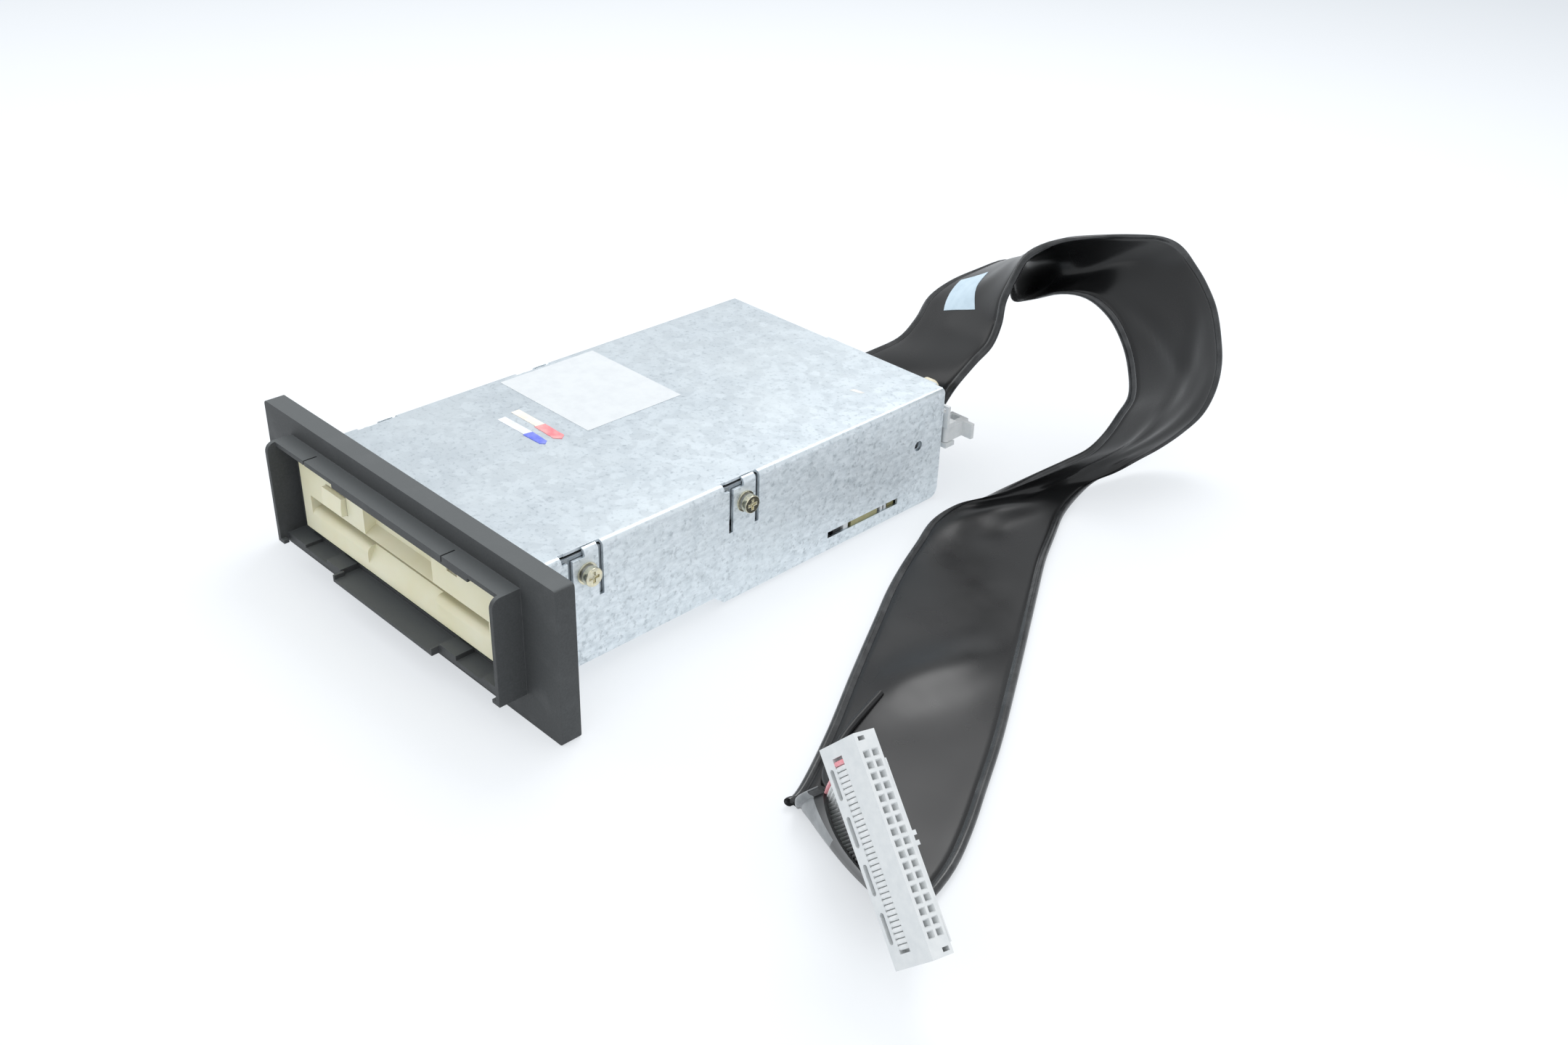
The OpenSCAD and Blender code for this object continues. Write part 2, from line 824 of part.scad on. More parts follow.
module rear_panel() {
    lower = box_rear_low + sheet_t;
    header_half = socket_len / 2 + header_gap + header_end + header_gap;
    header_up = socket_t / 2 + header_gap + header_wall + header_gap;
    color("#bcc4cb") place() difference() {
        union() {
            block([-base_half, box_rear, lower + corner_r], [base_half, box_rear + sheet_t, panel_top]);
            block([-base_half + corner_r, box_rear, lower], [base_half - corner_r, box_rear + sheet_t, panel_top]);
            block([panel_tab_left, box_rear, panel_top - cut], [panel_tab_right, box_rear + sheet_t, box_top]);
            block([-panel_flange_half, box_rear - panel_flange_len, lower],
                  [panel_flange_half, box_rear + sheet_t, lower + sheet_t]);
            for (s = [-1, 1]) translate([s * (base_half - sheet_t / 2), 0, rear_hole_z])
                block([-sheet_t / 2, box_rear - panel_ear_len, -panel_ear_h / 2],
                      [sheet_t / 2, box_rear + sheet_t, panel_ear_h / 2]);
        }
        translate([socket_x, 0, rear_header_z])
            block([-header_half, box_rear - cut, -header_up], [header_half, box_rear + sheet_t + cut, header_up]);
        for (s = [-1, 1]) {
            rod_along_z(thread_r, s * base_screw_x, base_screw_y, 0, lower + 2 * sheet_t);
            translate([s * (base_half - sheet_t / 2), 0, 0])
                rod_along_x(thread_r, -sheet_t, sheet_t, rear_hole_y, rear_hole_z);
        }
    }
}

module base_screws() {
    color("#c9b26a") place() for (s = [-1, 1])
        translate([s * base_screw_x, base_screw_y, box_rear_low])
            screw_up(screw_r, base_head_r, base_head_h, base_screw_len);
}

// Side screws and their washers lie on one axis, worked out from the housing outwards
module on_side_screws() {
    place() for (s = [-1, 1], y = side_screw_y)
        translate([s * box_half, y, drive_top - side_screw_drop]) rotate([0, s * 90, 0]) children();
}

module side_screws() {
    seat = flat_washer_t + spring_washer_t;
    color("#d3c07a") on_side_screws() difference() {
        union() {
            translate([0, 0, seat - side_screw_len]) cylinder(r = screw_r, h = side_screw_len);
            translate([0, 0, seat]) cylinder(r = side_head_r, h = side_head_h);
        }
        translate([0, 0, seat + side_head_h]) mirror([0, 0, 1]) cross_slot(0);
    }
}

module washer(r, t) {
    difference() {
        cylinder(r = r, h = t);
        translate([0, 0, -cut]) cylinder(r = washer_hole_r, h = t + 2 * cut);
    }
}

module flat_washers() {
    color("#d6c88e") on_side_screws() washer(flat_washer_r, flat_washer_t);
}

module spring_washers() {
    color("#b8b09a") on_side_screws() translate([0, 0, flat_washer_t]) difference() {
        washer(spring_washer_r, spring_washer_t);
        block([0, -cross_w / 4, -cut], [spring_washer_r + cut, cross_w / 4, spring_washer_t + cut]);
    }
}

module type_label() {
    color("#d9dde0") place()
        block([label_left, label_front, box_top], [label_right, label_rear, box_top + label_t]);
}

module edge_guard() {
    color("#e9dfc4") place() translate([0, box_rear + sheet_t, 0]) difference() {
        translate([0, guard_t, 0]) rotate([90, 0, 0]) linear_extrude(guard_t) union() {
            translate([guard_left, guard_low]) square([guard_right - guard_left, box_top - guard_low - guard_r]);
            translate([guard_left + guard_r, guard_low])
                square([guard_right - guard_left - 2 * guard_r, box_top - guard_low]);
            for (x = [guard_left + guard_r, guard_right - guard_r])
                translate([x, box_top - guard_r]) circle(r = guard_r);
        }
    }
}

// Front piece of the drive, in the drive's own frame
slot_top = slot_low + slot_h;

module drive_front() {
    lip_corner = slot_top + lip_round;
    color("#ece8c8") in_drive() difference() {
        union() {
            block([-drive_half, 0, 0], [drive_half, front_t, drive_h]);
            for (s = [-1, 1]) translate([s * (flap_ear_in + flap_ear_out) / 2, 0, 0])
                flap_ear((flap_ear_out - flap_ear_in) / 2);
        }
        block([-slot_w / 2, -cut, slot_low], [slot_w / 2, front_t + cut, slot_top]);
        difference() {
            block([-slot_w / 2, -cut, slot_top - cut], [slot_w / 2, lip_round, lip_corner]);
            rod_along_x(lip_round, -slot_w / 2 - cut, slot_w / 2 + cut, lip_round, lip_corner);
        }
        side_view([[-cut, slot_top - cut], [bevel_depth, slot_top - cut], [bevel_depth, slot_top],
                   [0, slot_top + bevel_rise], [-cut, slot_top + bevel_rise]], scoop_left, scoop_right);
        side_view([[-cut, -cut], [scoop_depth, -cut], [scoop_depth, scoop_crease],
                   [0, slot_low], [-cut, slot_low]], scoop_left, scoop_right);
        block([button_left - button_gap, -cut, button_low - button_gap],
              [button_left + button_w + button_gap, front_t + cut, button_low + button_h + button_gap]);
        block([led_left, -cut, led_low], [led_left + led_w, front_t + cut, led_low + led_h]);
        rod_along_x(flap_pin_r, -flap_ear_out - cut, flap_ear_out + cut, flap_axis_y, flap_axis_z);
    }
}

module flap_ear(half) {
    rod_along_x(flap_ear_r, -half, half, flap_axis_y, flap_axis_z);
    block([-half, front_t - cut, flap_axis_z - flap_ear_r], [half, flap_axis_y, flap_axis_z + flap_ear_r]);
}

module led_window() {
    color("#b9bcb4") in_drive()
        block([led_left, button_dish, led_low], [led_left + led_w, front_t - seat_gap, led_low + led_h]);
}

module eject_button() {
    color("#efebcd") in_drive() difference() {
        union() {
            block([button_left, -button_out, button_low],
                  [button_left + button_w, button_len - button_out, button_low + button_h]);
            block([button_left + stem_in, button_len - button_out, button_low + stem_rise],
                  [button_left + button_w - stem_in, bar_y, button_low + stem_rise + stem_h]);
        }
        side_view([[-button_out - cut, button_low - cut], [-button_out + button_dish, button_low - cut],
                   [-button_out, button_low + button_h / 2], [-button_out - cut, button_low + button_h / 2]],
                  button_left - cut, button_left + button_w + cut);
    }
}

module slot_flap() {
    color("#2b2b2c") in_drive() difference() {
        union() {
            rod_along_x(flap_r, -flap_half + flap_spring_len, flap_half, flap_axis_y, flap_axis_z);
            block([-flap_half, flap_axis_y - flap_t, flap_low], [flap_half, flap_axis_y, flap_axis_z - flap_r - cut]);
            block([-flap_half + flap_spring_len, flap_axis_y - flap_t, flap_low],
                  [flap_half, flap_axis_y, flap_axis_z]);
        }
        rod_along_x(flap_pin_r + fit_gap, -flap_half - cut, flap_half + cut, flap_axis_y, flap_axis_z);
    }
}

module flap_pin() {
    color("#a9adb1") in_drive()
        rod_along_x(flap_pin_r, -flap_ear_out, flap_ear_out, flap_axis_y, flap_axis_z);
}

module flap_spring() {
    color("#8d9297") in_drive() translate([-flap_ear_in + fit_gap, 0, 0]) difference() {
        rod_along_x(flap_spring_r, 0, flap_spring_len, flap_axis_y, flap_axis_z);
        rod_along_x(flap_spring_bore, -cut, flap_spring_len + cut, flap_axis_y, flap_axis_z);
    }
}

// Chassis of the drive: floor, side walls and everything that is fixed to them
module rod_lug(x, z, r, y) {
    difference() {
        block([x - rod_lug_half, y, floor_top - fit_gap], [x + rod_lug_half, y + rod_lug_len, z + rod_lug_half]);
        rod_along_y(r, x, y - cut, y + rod_lug_len + cut, z);
    }
}

module drive_chassis() {
    color("#aeb3b6") in_drive() difference() {
        union() {
            block([-drive_half, front_t, chassis_floor], [drive_half, chassis_floor_end, floor_top]);
            for (s = [-1, 1]) translate([s * (drive_half - wall_t / 2), 0, 0])
                block([-wall_t / 2, front_t, wall_low], [wall_t / 2, drive_len, chassis_top]);
            for (s = [-1, 1], y = side_screw_y)
                translate([s * (drive_half - wall_t - block_in / 2), y + drive_ahead, 0])
                    block([-block_in / 2, -block_half, chassis_floor], [block_in / 2 + cut, block_half, block_top]);
            block([-drive_half + wall_t / 2, bridge_y, bridge_low],
                  [drive_half - wall_t / 2, bridge_y + bridge_len, chassis_top]);
            for (s = [-1, 1]) translate([s * (drive_half - wall_t - board_ledge_in / 2), 0, 0])
                block([-board_ledge_in / 2 - cut, board_ledge_from, main_low + board_t],
                      [board_ledge_in / 2 + cut, board_ledge_to, chassis_floor]);
            rod_along_z(lever_post_r, lever_x, lever_y, chassis_floor, lever_low - seat_gap);
            rod_along_z(thread_r, lever_x, lever_y, chassis_floor, lever_pin_top);
            for (x = [-rod_x, rod_x], y = [rod_from, rod_to - rod_lug_len]) rod_lug(x, rod_z, rod_r, y);
            rod_lug(screw_x, screw_z, lead_bore, rod_from);
        }
        rod_along_z(bearing_r, 0, spindle_y, chassis_floor - cut, floor_top + cut);
        block([button_left - button_gap, front_t - cut, chassis_floor - cut],
              [button_left + button_w + button_gap, button_len - button_out + button_gap, floor_top + cut]);
        for (s = [-1, 1], y = side_screw_y) translate([s * drive_half, y + drive_ahead, 0])
            rod_along_x(thread_r, -block_in - wall_t - cut, block_in + wall_t + cut, 0, side_screw_drop);
        for (s = [-1, 1], y = pin_y) translate([s * drive_half, y, 0])
            block([-wall_t - cut, -pin_r - pin_gap, pin_z - carrier_drop - pin_r - pin_gap],
                  [wall_t + cut, pin_r + pin_gap, pin_z + pin_r + pin_gap]);
    }
}

module drive_cover() {
    color("#b4b9bd") in_drive()
        block([-drive_half, front_t, chassis_top], [drive_half, drive_len, drive_h]);
}

// Carrier that holds the disk, with four pins
module disk_carrier() {
    rail_low = disk_low - carrier_sheet;
    roof = disk_low + carrier_room;
    color("#9ca2a6") in_drive() difference() {
        union() {
            block([-carrier_half, carrier_front, roof], [carrier_half, carrier_rear, roof + carrier_sheet]);
            for (s = [-1, 1]) translate([s * carrier_half, 0, 0]) mirror([s > 0 ? 1 : 0, 0, 0]) {
                block([0, carrier_front, rail_low], [carrier_sheet, carrier_rear, roof + carrier_sheet]);
                block([0, carrier_front, rail_low], [carrier_rail, carrier_rear, disk_low]);
            }
            for (s = [-1, 1], y = pin_y) translate([s * carrier_half, 0, 0])
                rod_along_x(pin_r, s > 0 ? -carrier_sheet : -pin_len,
                            s > 0 ? pin_len : carrier_sheet, y, pin_z);
        }
        block([-window_half, window_from, roof - cut], [window_half, carrier_rear + cut, roof + carrier_sheet + cut]);
    }
}
pin_len = drive_half - pin_end_gap - carrier_half;

// Slider that the button pushes, with slanted slots for the carrier's pins
module slider_slot(y) {
    r = pin_r + pin_gap;
    run = sqrt(eject_travel * eject_travel + carrier_drop * carrier_drop);
    slant = atan2(-carrier_drop, eject_travel);
    translate([0, y, pin_z]) {
        rod_along_x(r, -cut - slider_t, slider_t + cut, 0, 0);
        rod_along_x(r, -cut - slider_t, slider_t + cut, eject_travel, -carrier_drop);
        rotate([slant, 0, 0]) block([-cut - slider_t, 0, -r], [slider_t + cut, run, r]);
    }
}

module eject_slider() {
    color("#a3a9ad") in_drive() difference() {
        union() {
            block([-slider_half, slider_front, slider_low], [slider_half, slider_rear, slider_low + slider_t]);
            for (s = [-1, 1]) translate([s * (slider_half - slider_t / 2), 0, 0])
                block([-slider_t / 2, slider_front, slider_flange_low],
                      [slider_t / 2, slider_rear, slider_low + slider_t]);
            block([slider_half - slider_t, bar_y, bar_low],
                  [slider_half, slider_front + slider_t, slider_flange_low + slider_t]);
            block([bar_left, bar_y, bar_low], [slider_half, bar_y + slider_t, bar_low + bar_h]);
            for (s = [-1, 1]) translate([s * spring_x, spring_y - fit_gap, slider_low])
                block([-post_t, -post_t, 0], [post_t, 0, slider_t + post_h]);
        }
        block([-window_half, window_from - eject_travel, slider_low - cut],
              [window_half, slider_rear + cut, slider_low + slider_t + cut]);
        for (s = [-1, 1], y = pin_y) translate([s * (slider_half - slider_t / 2), 0, 0]) slider_slot(y);
    }
}

module eject_springs() {
    color("#8d9297") in_drive() for (s = [-1, 1]) difference() {
        rod_along_y(spring_r, s * spring_x, spring_y, bridge_y, spring_z);
        rod_along_y(spring_bore, s * spring_x, spring_y - cut, bridge_y + cut, spring_z);
    }
}

module latch_lever() {
    color("#d8cfa8") in_drive() translate([lever_x, lever_y, lever_low]) difference() {
        union() {
            cylinder(r = lever_r, h = lever_t);
            rotate([0, 0, lever_angle]) {
                translate([lever_len, 0, 0]) cylinder(r = lever_tip_r, h = lever_t);
                block([0, -lever_tip_r, 0], [lever_len, lever_tip_r, lever_t]);
            }
        }
        translate([0, 0, -cut]) cylinder(r = thread_r + fit_gap, h = lever_t + 2 * cut);
    }
}

// Spindle: board with coils, bearing, rotor, shaft and hub
module stator_board() {
    color("#2f6b45") in_drive() difference() {
        union() {
            block([-stator_half, stator_from, chassis_floor - stator_t], [stator_half, stator_to, chassis_floor]);
            for (i = [0 : coils - 1]) rotate_about_spindle(i * 360 / coils)
                rod_along_z(coil_r, coil_circle, 0, chassis_floor - stator_t - coil_t, chassis_floor);
        }
        rod_along_z(stator_hole_r, 0, spindle_y, 0, chassis_floor + cut);
    }
}

module rotate_about_spindle(turn) {
    translate([0, spindle_y, 0]) rotate([0, 0, turn]) children();
}

module spindle_bearing() {
    color("#c9a35a") in_drive() translate([0, spindle_y, 0]) difference() {
        union() {
            rod_along_z(bearing_r - fit_gap / 2, 0, 0, bearing_low, bearing_top);
            rod_along_z(bearing_flange_r, 0, 0, floor_top, floor_top + bearing_flange_t);
        }
        rod_along_z(shaft_bore_r, 0, 0, bearing_low - cut, bearing_top + cut);
    }
}

module spindle_rotor() {
    color("#8f9498") in_drive() rotate_about_spindle(0) difference() {
        union() {
            rod_along_z(rotor_r, 0, 0, rotor_low, rotor_top);
            rod_along_z(rotor_boss_r, 0, 0, rotor_low, rotor_boss_top);
        }
        rod_along_z(shaft_r, 0, 0, rotor_low - cut, rotor_boss_top + cut);
        for (i = [0 : rotor_holes - 1]) rotate([0, 0, i * 360 / rotor_holes])
            rod_along_z(rotor_hole_r, rotor_hole_circle, 0, rotor_low - cut, rotor_top + cut);
    }
}

module spindle_shaft() {
    color("#c8ccd0") in_drive() rod_along_z(shaft_r, 0, spindle_y, rotor_low, hub_top);
}

module spindle_hub() {
    color("#77797c") in_drive() rotate_about_spindle(0) difference() {
        union() {
            rod_along_z(hub_r, 0, 0, hub_low, hub_top);
            rod_along_z(hub_pin_r, hub_pin_circle, 0, hub_low, hub_pin_top);
        }
        rod_along_z(shaft_r, 0, 0, hub_low - cut, hub_top + cut);
    }
}

// Heads: carriage on two rods, driven by the screw of the stepping motor
module head_carriage() {
    back = carriage_y + carriage_len;
    color("#3c3f42") in_drive() difference() {
        union() {
            block([-carriage_half, carriage_y, carriage_low], [carriage_half, back, carriage_top]);
            rod_along_y(nut_r, screw_x, nut_from, nut_from + nut_len, screw_z);
            block([screw_x, nut_from, screw_z - nut_r + fit_gap], [0, nut_from + nut_len, carriage_top]);
            for (s = [-1, 1]) translate([s * (arm_ear_in + arm_ear_t / 2), arm_axis_y, 0])
                block([-arm_ear_t / 2, -arm_ear_half, carriage_low], [arm_ear_t / 2, arm_ear_half, arm_axis_z + arm_ear_half]);
        }
        for (x = [-rod_x, rod_x]) rod_along_y(rod_r + fit_gap, x, carriage_y - cut, back + cut, rod_z);
        rod_along_y(lead_r + fit_gap, screw_x, nut_from - cut, nut_from + nut_len + cut, screw_z);
        rod_along_x(arm_pin_r, -arm_ear_in - arm_ear_t - cut, arm_ear_in + arm_ear_t + cut, arm_axis_y, arm_axis_z);
    }
}

module lower_head() {
    color("#d9d6cc") in_drive() rod_along_z(head_r, 0, head_y, carriage_top, lower_head_top);
}

module upper_head_arm() {
    leg = arm_leg_len / 2;
    color("#4c5053") in_drive() difference() {
        union() {
            block([-arm_half, arm_from, arm_low], [arm_half, arm_axis_y + leg, arm_low + arm_t]);
            block([-arm_half, arm_axis_y - leg, arm_axis_z - leg + cut], [arm_half, arm_axis_y + leg, arm_low + cut]);
        }
        rod_along_x(arm_pin_bore, -arm_half - cut, arm_half + cut, arm_axis_y, arm_axis_z);
    }
}

module upper_head() {
    color("#d9d6cc") in_drive() rod_along_z(head_r, 0, head_y, upper_head_low, arm_low);
}

module arm_pin() {
    color("#c8ccd0") in_drive()
        rod_along_x(arm_pin_r, -arm_ear_in - arm_ear_t, arm_ear_in + arm_ear_t, arm_axis_y, arm_axis_z);
}

module guide_rods() {
    color("#c8ccd0") in_drive() for (x = [-rod_x, rod_x]) rod_along_y(rod_r, x, rod_from, rod_to, rod_z);
}

stepper_front = chassis_floor_end;

module stepper_motor() {
    plate_from = stepper_front - stepper_plate_t;
    color("#9a9fa4") in_drive() difference() {
        union() {
            rod_along_y(stepper_r, screw_x, stepper_front, stepper_front + stepper_len, screw_z);
            block([screw_x - stepper_plate_half, plate_from, floor_top],
                  [screw_x + stepper_plate_half, stepper_front, screw_z + stepper_r]);
            rod_along_y(stepper_boss_r, screw_x, plate_from - stepper_boss_len, stepper_front, screw_z);
        }
        rod_along_y(lead_bore, screw_x, plate_from - stepper_boss_len - cut, stepper_front + stepper_len / 2, screw_z);
    }
}

// Screw with a ring groove at each turn
module lead_screw() {
    from = rod_from + fit_gap;
    to = stepper_front + stepper_len / 2 - fit_gap;
    turns = floor((stepper_front - stepper_plate_t - stepper_boss_len - rod_from - rod_lug_len) / lead_pitch);
    groove = lead_pitch / 4;
    color("#c8ccd0") in_drive() translate([screw_x, to, screw_z]) rotate([90, 0, 0]) rotate_extrude()
        polygon(concat(
            [[0, 0], [lead_r, 0]],
            [for (i = [1 : turns], p = [[lead_r, 0], [lead_root_r, groove / 2], [lead_root_r, groove], [lead_r, groove * 3 / 2]])
                [p[0], p[1] + (to - stepper_front + stepper_plate_t + stepper_boss_len) + (i - 1) * lead_pitch]],
            [[lead_r, to - from], [0, to - from]]
        ));
}

// Main board of the drive
module main_board() {
    notch = stepper_r + stator_t;
    color("#2f6b45") in_drive() difference() {
        block([-main_half, main_from, main_low], [main_half, main_to, main_low + board_t]);
        block([screw_x - notch, stepper_front - fit_gap, main_low - cut],
              [screw_x + notch, stepper_front + stepper_len + stator_t, main_low + board_t + cut]);
    }
}

chip_low = 0.5;
chip_places_share = [[0.25, 0.3], [0.55, 0.3], [0.8, 0.35], [0.4, 0.7]];
chip_w = 12;
chip_d = 9;

module main_board_parts() {
    color("#26282a") in_drive() for (p = chip_places_share)
        translate([main_half * (2 * p[0] - 1), main_from + (main_to - main_from) * p[1], 0])
            block([-chip_w / 2, -chip_d / 2, chip_low], [chip_w / 2, chip_d / 2, main_low]);
}

// A box header that opens towards +Y, with its middle at the origin of X and Z
module box_header(from, to, depth) {
    half_w = socket_len / 2 + header_gap;
    half_h = socket_t / 2 + header_gap;
    difference() {
        block([-half_w - header_end, from, -half_h - header_wall], [half_w + header_end, to, half_h + header_wall]);
        block([-half_w, to - depth, -half_h], [half_w, to + cut, half_h]);
        block([-key_w / 2, to - depth, half_h - cut], [key_w / 2, to + cut, half_h + header_wall + cut]);
    }
    contact_places() translate([0, 0, 0])
        block([-pin_side / 2, to - depth - cut, -pin_side / 2], [pin_side / 2, to - depth + pin_stick, pin_side / 2]);
}

module contact_places() {
    for (i = [0 : pairs - 1], row = [-1, 1])
        translate([(i - (pairs - 1) / 2) * pitch, 0, row * pitch / 2]) children();
}

// A ribbon socket that plugs towards -Y, with its mating face at the origin and its ribbon gap behind the body
module ribbon_socket() {
    gap_from = socket_body;
    gap_to = socket_body + ribbon_t + ribbon_gap;
    back = gap_to + relief_t;
    half = socket_len / 2;
    link = (socket_len - ribbon_w) / 2 - ribbon_gap;
    difference() {
        union() {
            block([-half, 0, -socket_t / 2], [half, gap_from, socket_t / 2]);
            block([-half, gap_to, -socket_t / 2], [half, back, socket_t / 2]);
            for (s = [-1, 1]) translate([s * (half - link / 2), 0, 0])
                block([-link / 2, gap_from - cut, -socket_t / 2], [link / 2, gap_to + cut, socket_t / 2]);
            block([-nub_w / 2, 0, socket_t / 2 - cut], [nub_w / 2, nub_len, socket_t / 2 + nub_h]);
        }
        contact_places()
            block([-hole_side / 2, -cut, -hole_side / 2], [hole_side / 2, hole_depth, hole_side / 2]);
        for (i = [0 : relief_grooves - 1])
            translate([(i - (relief_grooves - 1) / 2) * socket_len / relief_grooves, (gap_to + back) / 2, -socket_t / 2])
                block([-groove_len / 2, -groove_w / 2, -cut], [groove_len / 2, groove_w / 2, groove_depth]);
    }
}

drive_header_z = main_low + board_t + header_wall + header_gap + socket_t / 2;
drive_plug_y = drive_header_y + header_floor + header_gap;

module drive_header() {
    color("#d8d8d2") in_drive() translate([-socket_x, 0, drive_header_z])
        box_header(drive_header_y, drive_header_y + header_floor + header_depth, header_depth);
}

module drive_plug() {
    color("#c9cbc8") in_drive() translate([-socket_x, drive_plug_y, drive_header_z]) ribbon_socket();
}

// A flat band of even thickness along points in Y and Z, thickened along X
function unit(v) = v / norm(v);
function turned(v) = [-v[1], v[0]];
function band_side(points, half, side) = [
    for (i = [0 : len(points) - 1])
        let (before = unit(points[max(i, 1)] - points[max(i, 1) - 1]),
             after = unit(points[min(i + 1, len(points) - 1)] - points[min(i + 1, len(points) - 1) - 1]),
             middle = unit(before + after))
            points[i] + side * half / (turned(middle) * turned(after)) * turned(middle)
];
function reversed(list) = [for (i = [len(list) - 1 : -1 : 0]) list[i]];

module band(points, t, x0, x1) {
    side_view(concat(band_side(points, t / 2, 1), reversed(band_side(points, t / 2, -1))), x0, x1);
}

ribbon_bend = 3;
plug_ribbon_y = drive_plug_y - drive_ahead + socket_body + (ribbon_t + ribbon_gap) / 2;
plug_ribbon_z = drive_top - drive_header_z;

module internal_ribbon() {
    color("#b8bcc0") place() band(concat(
        [[plug_ribbon_y, plug_ribbon_z + socket_t / 2]],
        arc([plug_ribbon_y + ribbon_bend, rear_header_z + ribbon_bend], ribbon_bend, 180, 270),
        [[rear_header_from, rear_header_z]]
    ), ribbon_t, socket_x - ribbon_w / 2, socket_x + ribbon_w / 2);
}

module power_header() {
    low = main_low + board_t;
    color("#e4e1d6") in_drive()
        block([power_left, power_from, low], [power_left + power_w, power_from + power_len, low + power_h]);
}

module power_plug() {
    low = main_low + board_t;
    color("#e4e1d6") in_drive() block([power_left, power_from + power_len, low],
        [power_left + power_w, power_from + power_len + power_plug_len, low + power_h]);
}

power_x = -power_left - power_w / 2;
power_z = drive_top - main_low - board_t - power_h / 2;
power_back = power_from + power_len + power_plug_len - drive_ahead;
supply_y = power_back + lead_run + lead_bend;
supply_top = adapter_low + board_t + supply_h;

module power_lead() {
    color("#c9b23c") place() band(concat(
        [[power_back, power_z]],
        arc([power_back + lead_run, power_z - lead_bend], lead_bend, 90, 0),
        [[supply_y, supply_top]]
    ), lead_t, power_x - lead_w / 2, power_x + lead_w / 2);
}

// Adapter board on four spacers in the lower part of the housing
module adapter_board() {
    color("#8f8a4e") place() difference() {
        block([-adapter_half, adapter_from, adapter_low], [adapter_half, adapter_to, adapter_low + board_t]);
        for (s = [-1, 1], y = spacer_y)
            rod_along_z(washer_hole_r, s * spacer_x, y, adapter_low - cut, adapter_low + board_t + cut);
    }
}

cap_r = 3.6;
cap_h = 6;
cap_share = [[0.2, 0.15], [0.35, 0.15]];
part_share = [[0.7, 0.2], [0.75, 0.6], [0.5, 0.45]];
part_h = 2.6;

module adapter_board_parts() {
    top = adapter_low + board_t;
    depth = adapter_to - adapter_from;
    color("#2a2c2e") place() {
        block([power_x - power_w / 2, supply_y - supply_len / 2, top],
              [power_x + power_w / 2, supply_y + supply_len / 2, supply_top]);
        for (p = cap_share)
            rod_along_z(cap_r, adapter_half * (2 * p[0] - 1), adapter_from + depth * p[1], top, top + cap_h);
        for (p = part_share) translate([adapter_half * (2 * p[0] - 1), adapter_from + depth * p[1], top])
            block([-chip_w / 2, -chip_d / 2, 0], [chip_w / 2, chip_d / 2, part_h]);
    }
}

module board_spacers() {
    low = box_rear_low + sheet_t;
    color("#c9a35a") place() for (s = [-1, 1], y = spacer_y) translate([s * spacer_x, y, low]) difference() {
        cylinder(r = spacer_r, h = adapter_low - low);
        translate([0, 0, -cut]) cylinder(r = thread_r, h = adapter_low - low + 2 * cut);
    }
}

module board_screws() {
    top = adapter_low + board_t;
    color("#c8ccd0") place() for (s = [-1, 1], y = spacer_y)
        translate([s * spacer_x, y, top]) mirror([0, 0, 1])
            screw_up(screw_r, board_head_r, board_head_h, top - box_rear_low - seat_gap);
}

// Rear header with ears and two latches
header_half = socket_len / 2 + header_gap + header_end;
header_up = socket_t / 2 + header_gap + header_wall;

module rear_header() {
    color("#d4d6d4") place() translate([socket_x, 0, rear_header_z]) difference() {
        union() {
            box_header(rear_header_from, rear_header_to, header_depth);
            for (s = [-1, 1]) {
                translate([0, 0, s * (header_up + header_lip / 2)])
                    block([-header_half, box_rear - seat_gap - header_lip_t, -header_lip / 2 - cut],
                          [header_half, box_rear - seat_gap, header_lip / 2]);
                for (side = [-1, 1]) translate([side * (header_half + ear_w / 2), 0, s * (header_up - ear_t / 2)])
                    block([-ear_w / 2 - cut, ear_from, -ear_t / 2], [ear_w / 2, rear_header_to, ear_t / 2]);
                translate([s * (header_half + tag_w / 2), 0, header_up])
                    block([-tag_w / 2, ear_from, -ear_t / 2], [tag_w / 2, ear_from + tag_t, tag_top - rear_header_z - header_up]);
            }
        }
        for (s = [-1, 1]) {
            rod_along_z(latch_pin_r, s * (header_half + latch_axis_in), latch_axis_y, -header_up - cut, header_up + cut);
            rod_along_y(tag_hole_r, s * (header_half + tag_w / 2), ear_from - cut, ear_from + tag_t + cut,
                        tag_top - rear_header_z - 2 * tag_hole_r);
        }
    }
}

latch_x = header_half + latch_axis_in;
latch_half = header_up - ear_t - latch_gap;

module latch(s) {
    color("#d9dbd9") place() translate([socket_x + s * latch_x, 0, rear_header_z]) mirror([s < 0 ? 1 : 0, 0, 0])
        difference() {
            union() {
                block([-latch_t / 2, latch_axis_y, -latch_half], [latch_t / 2, latch_to, latch_half]);
                rod_along_z(latch_axis_y - latch_from, 0, latch_axis_y, -latch_half, latch_half);
                block([-latch_t / 2 - hook_reach, latch_to - hook_t, -latch_half], [0, latch_to, latch_half]);
                block([0, latch_to - finger_back - finger_t, -latch_half],
                      [latch_t / 2 + finger_len, latch_to - finger_back, latch_half]);
            }
            rod_along_z(latch_bore, 0, latch_axis_y, -latch_half - cut, latch_half + cut);
        }
}

module latch_left() {
    latch(-1);
}

module latch_right() {
    latch(1);
}

module latch_pins() {
    color("#a9adb1") place() for (s = [-1, 1])
        rod_along_z(latch_pin_r, socket_x + s * latch_x, latch_axis_y,
                    rear_header_z - header_up, rear_header_z + header_up);
}

// The cable's plug in the rear header
plug_y = rear_header_to - header_depth + header_gap;

module cable_plug() {
    color("#cfd2d2") place() translate([socket_x, plug_y, rear_header_z]) ribbon_socket();
}

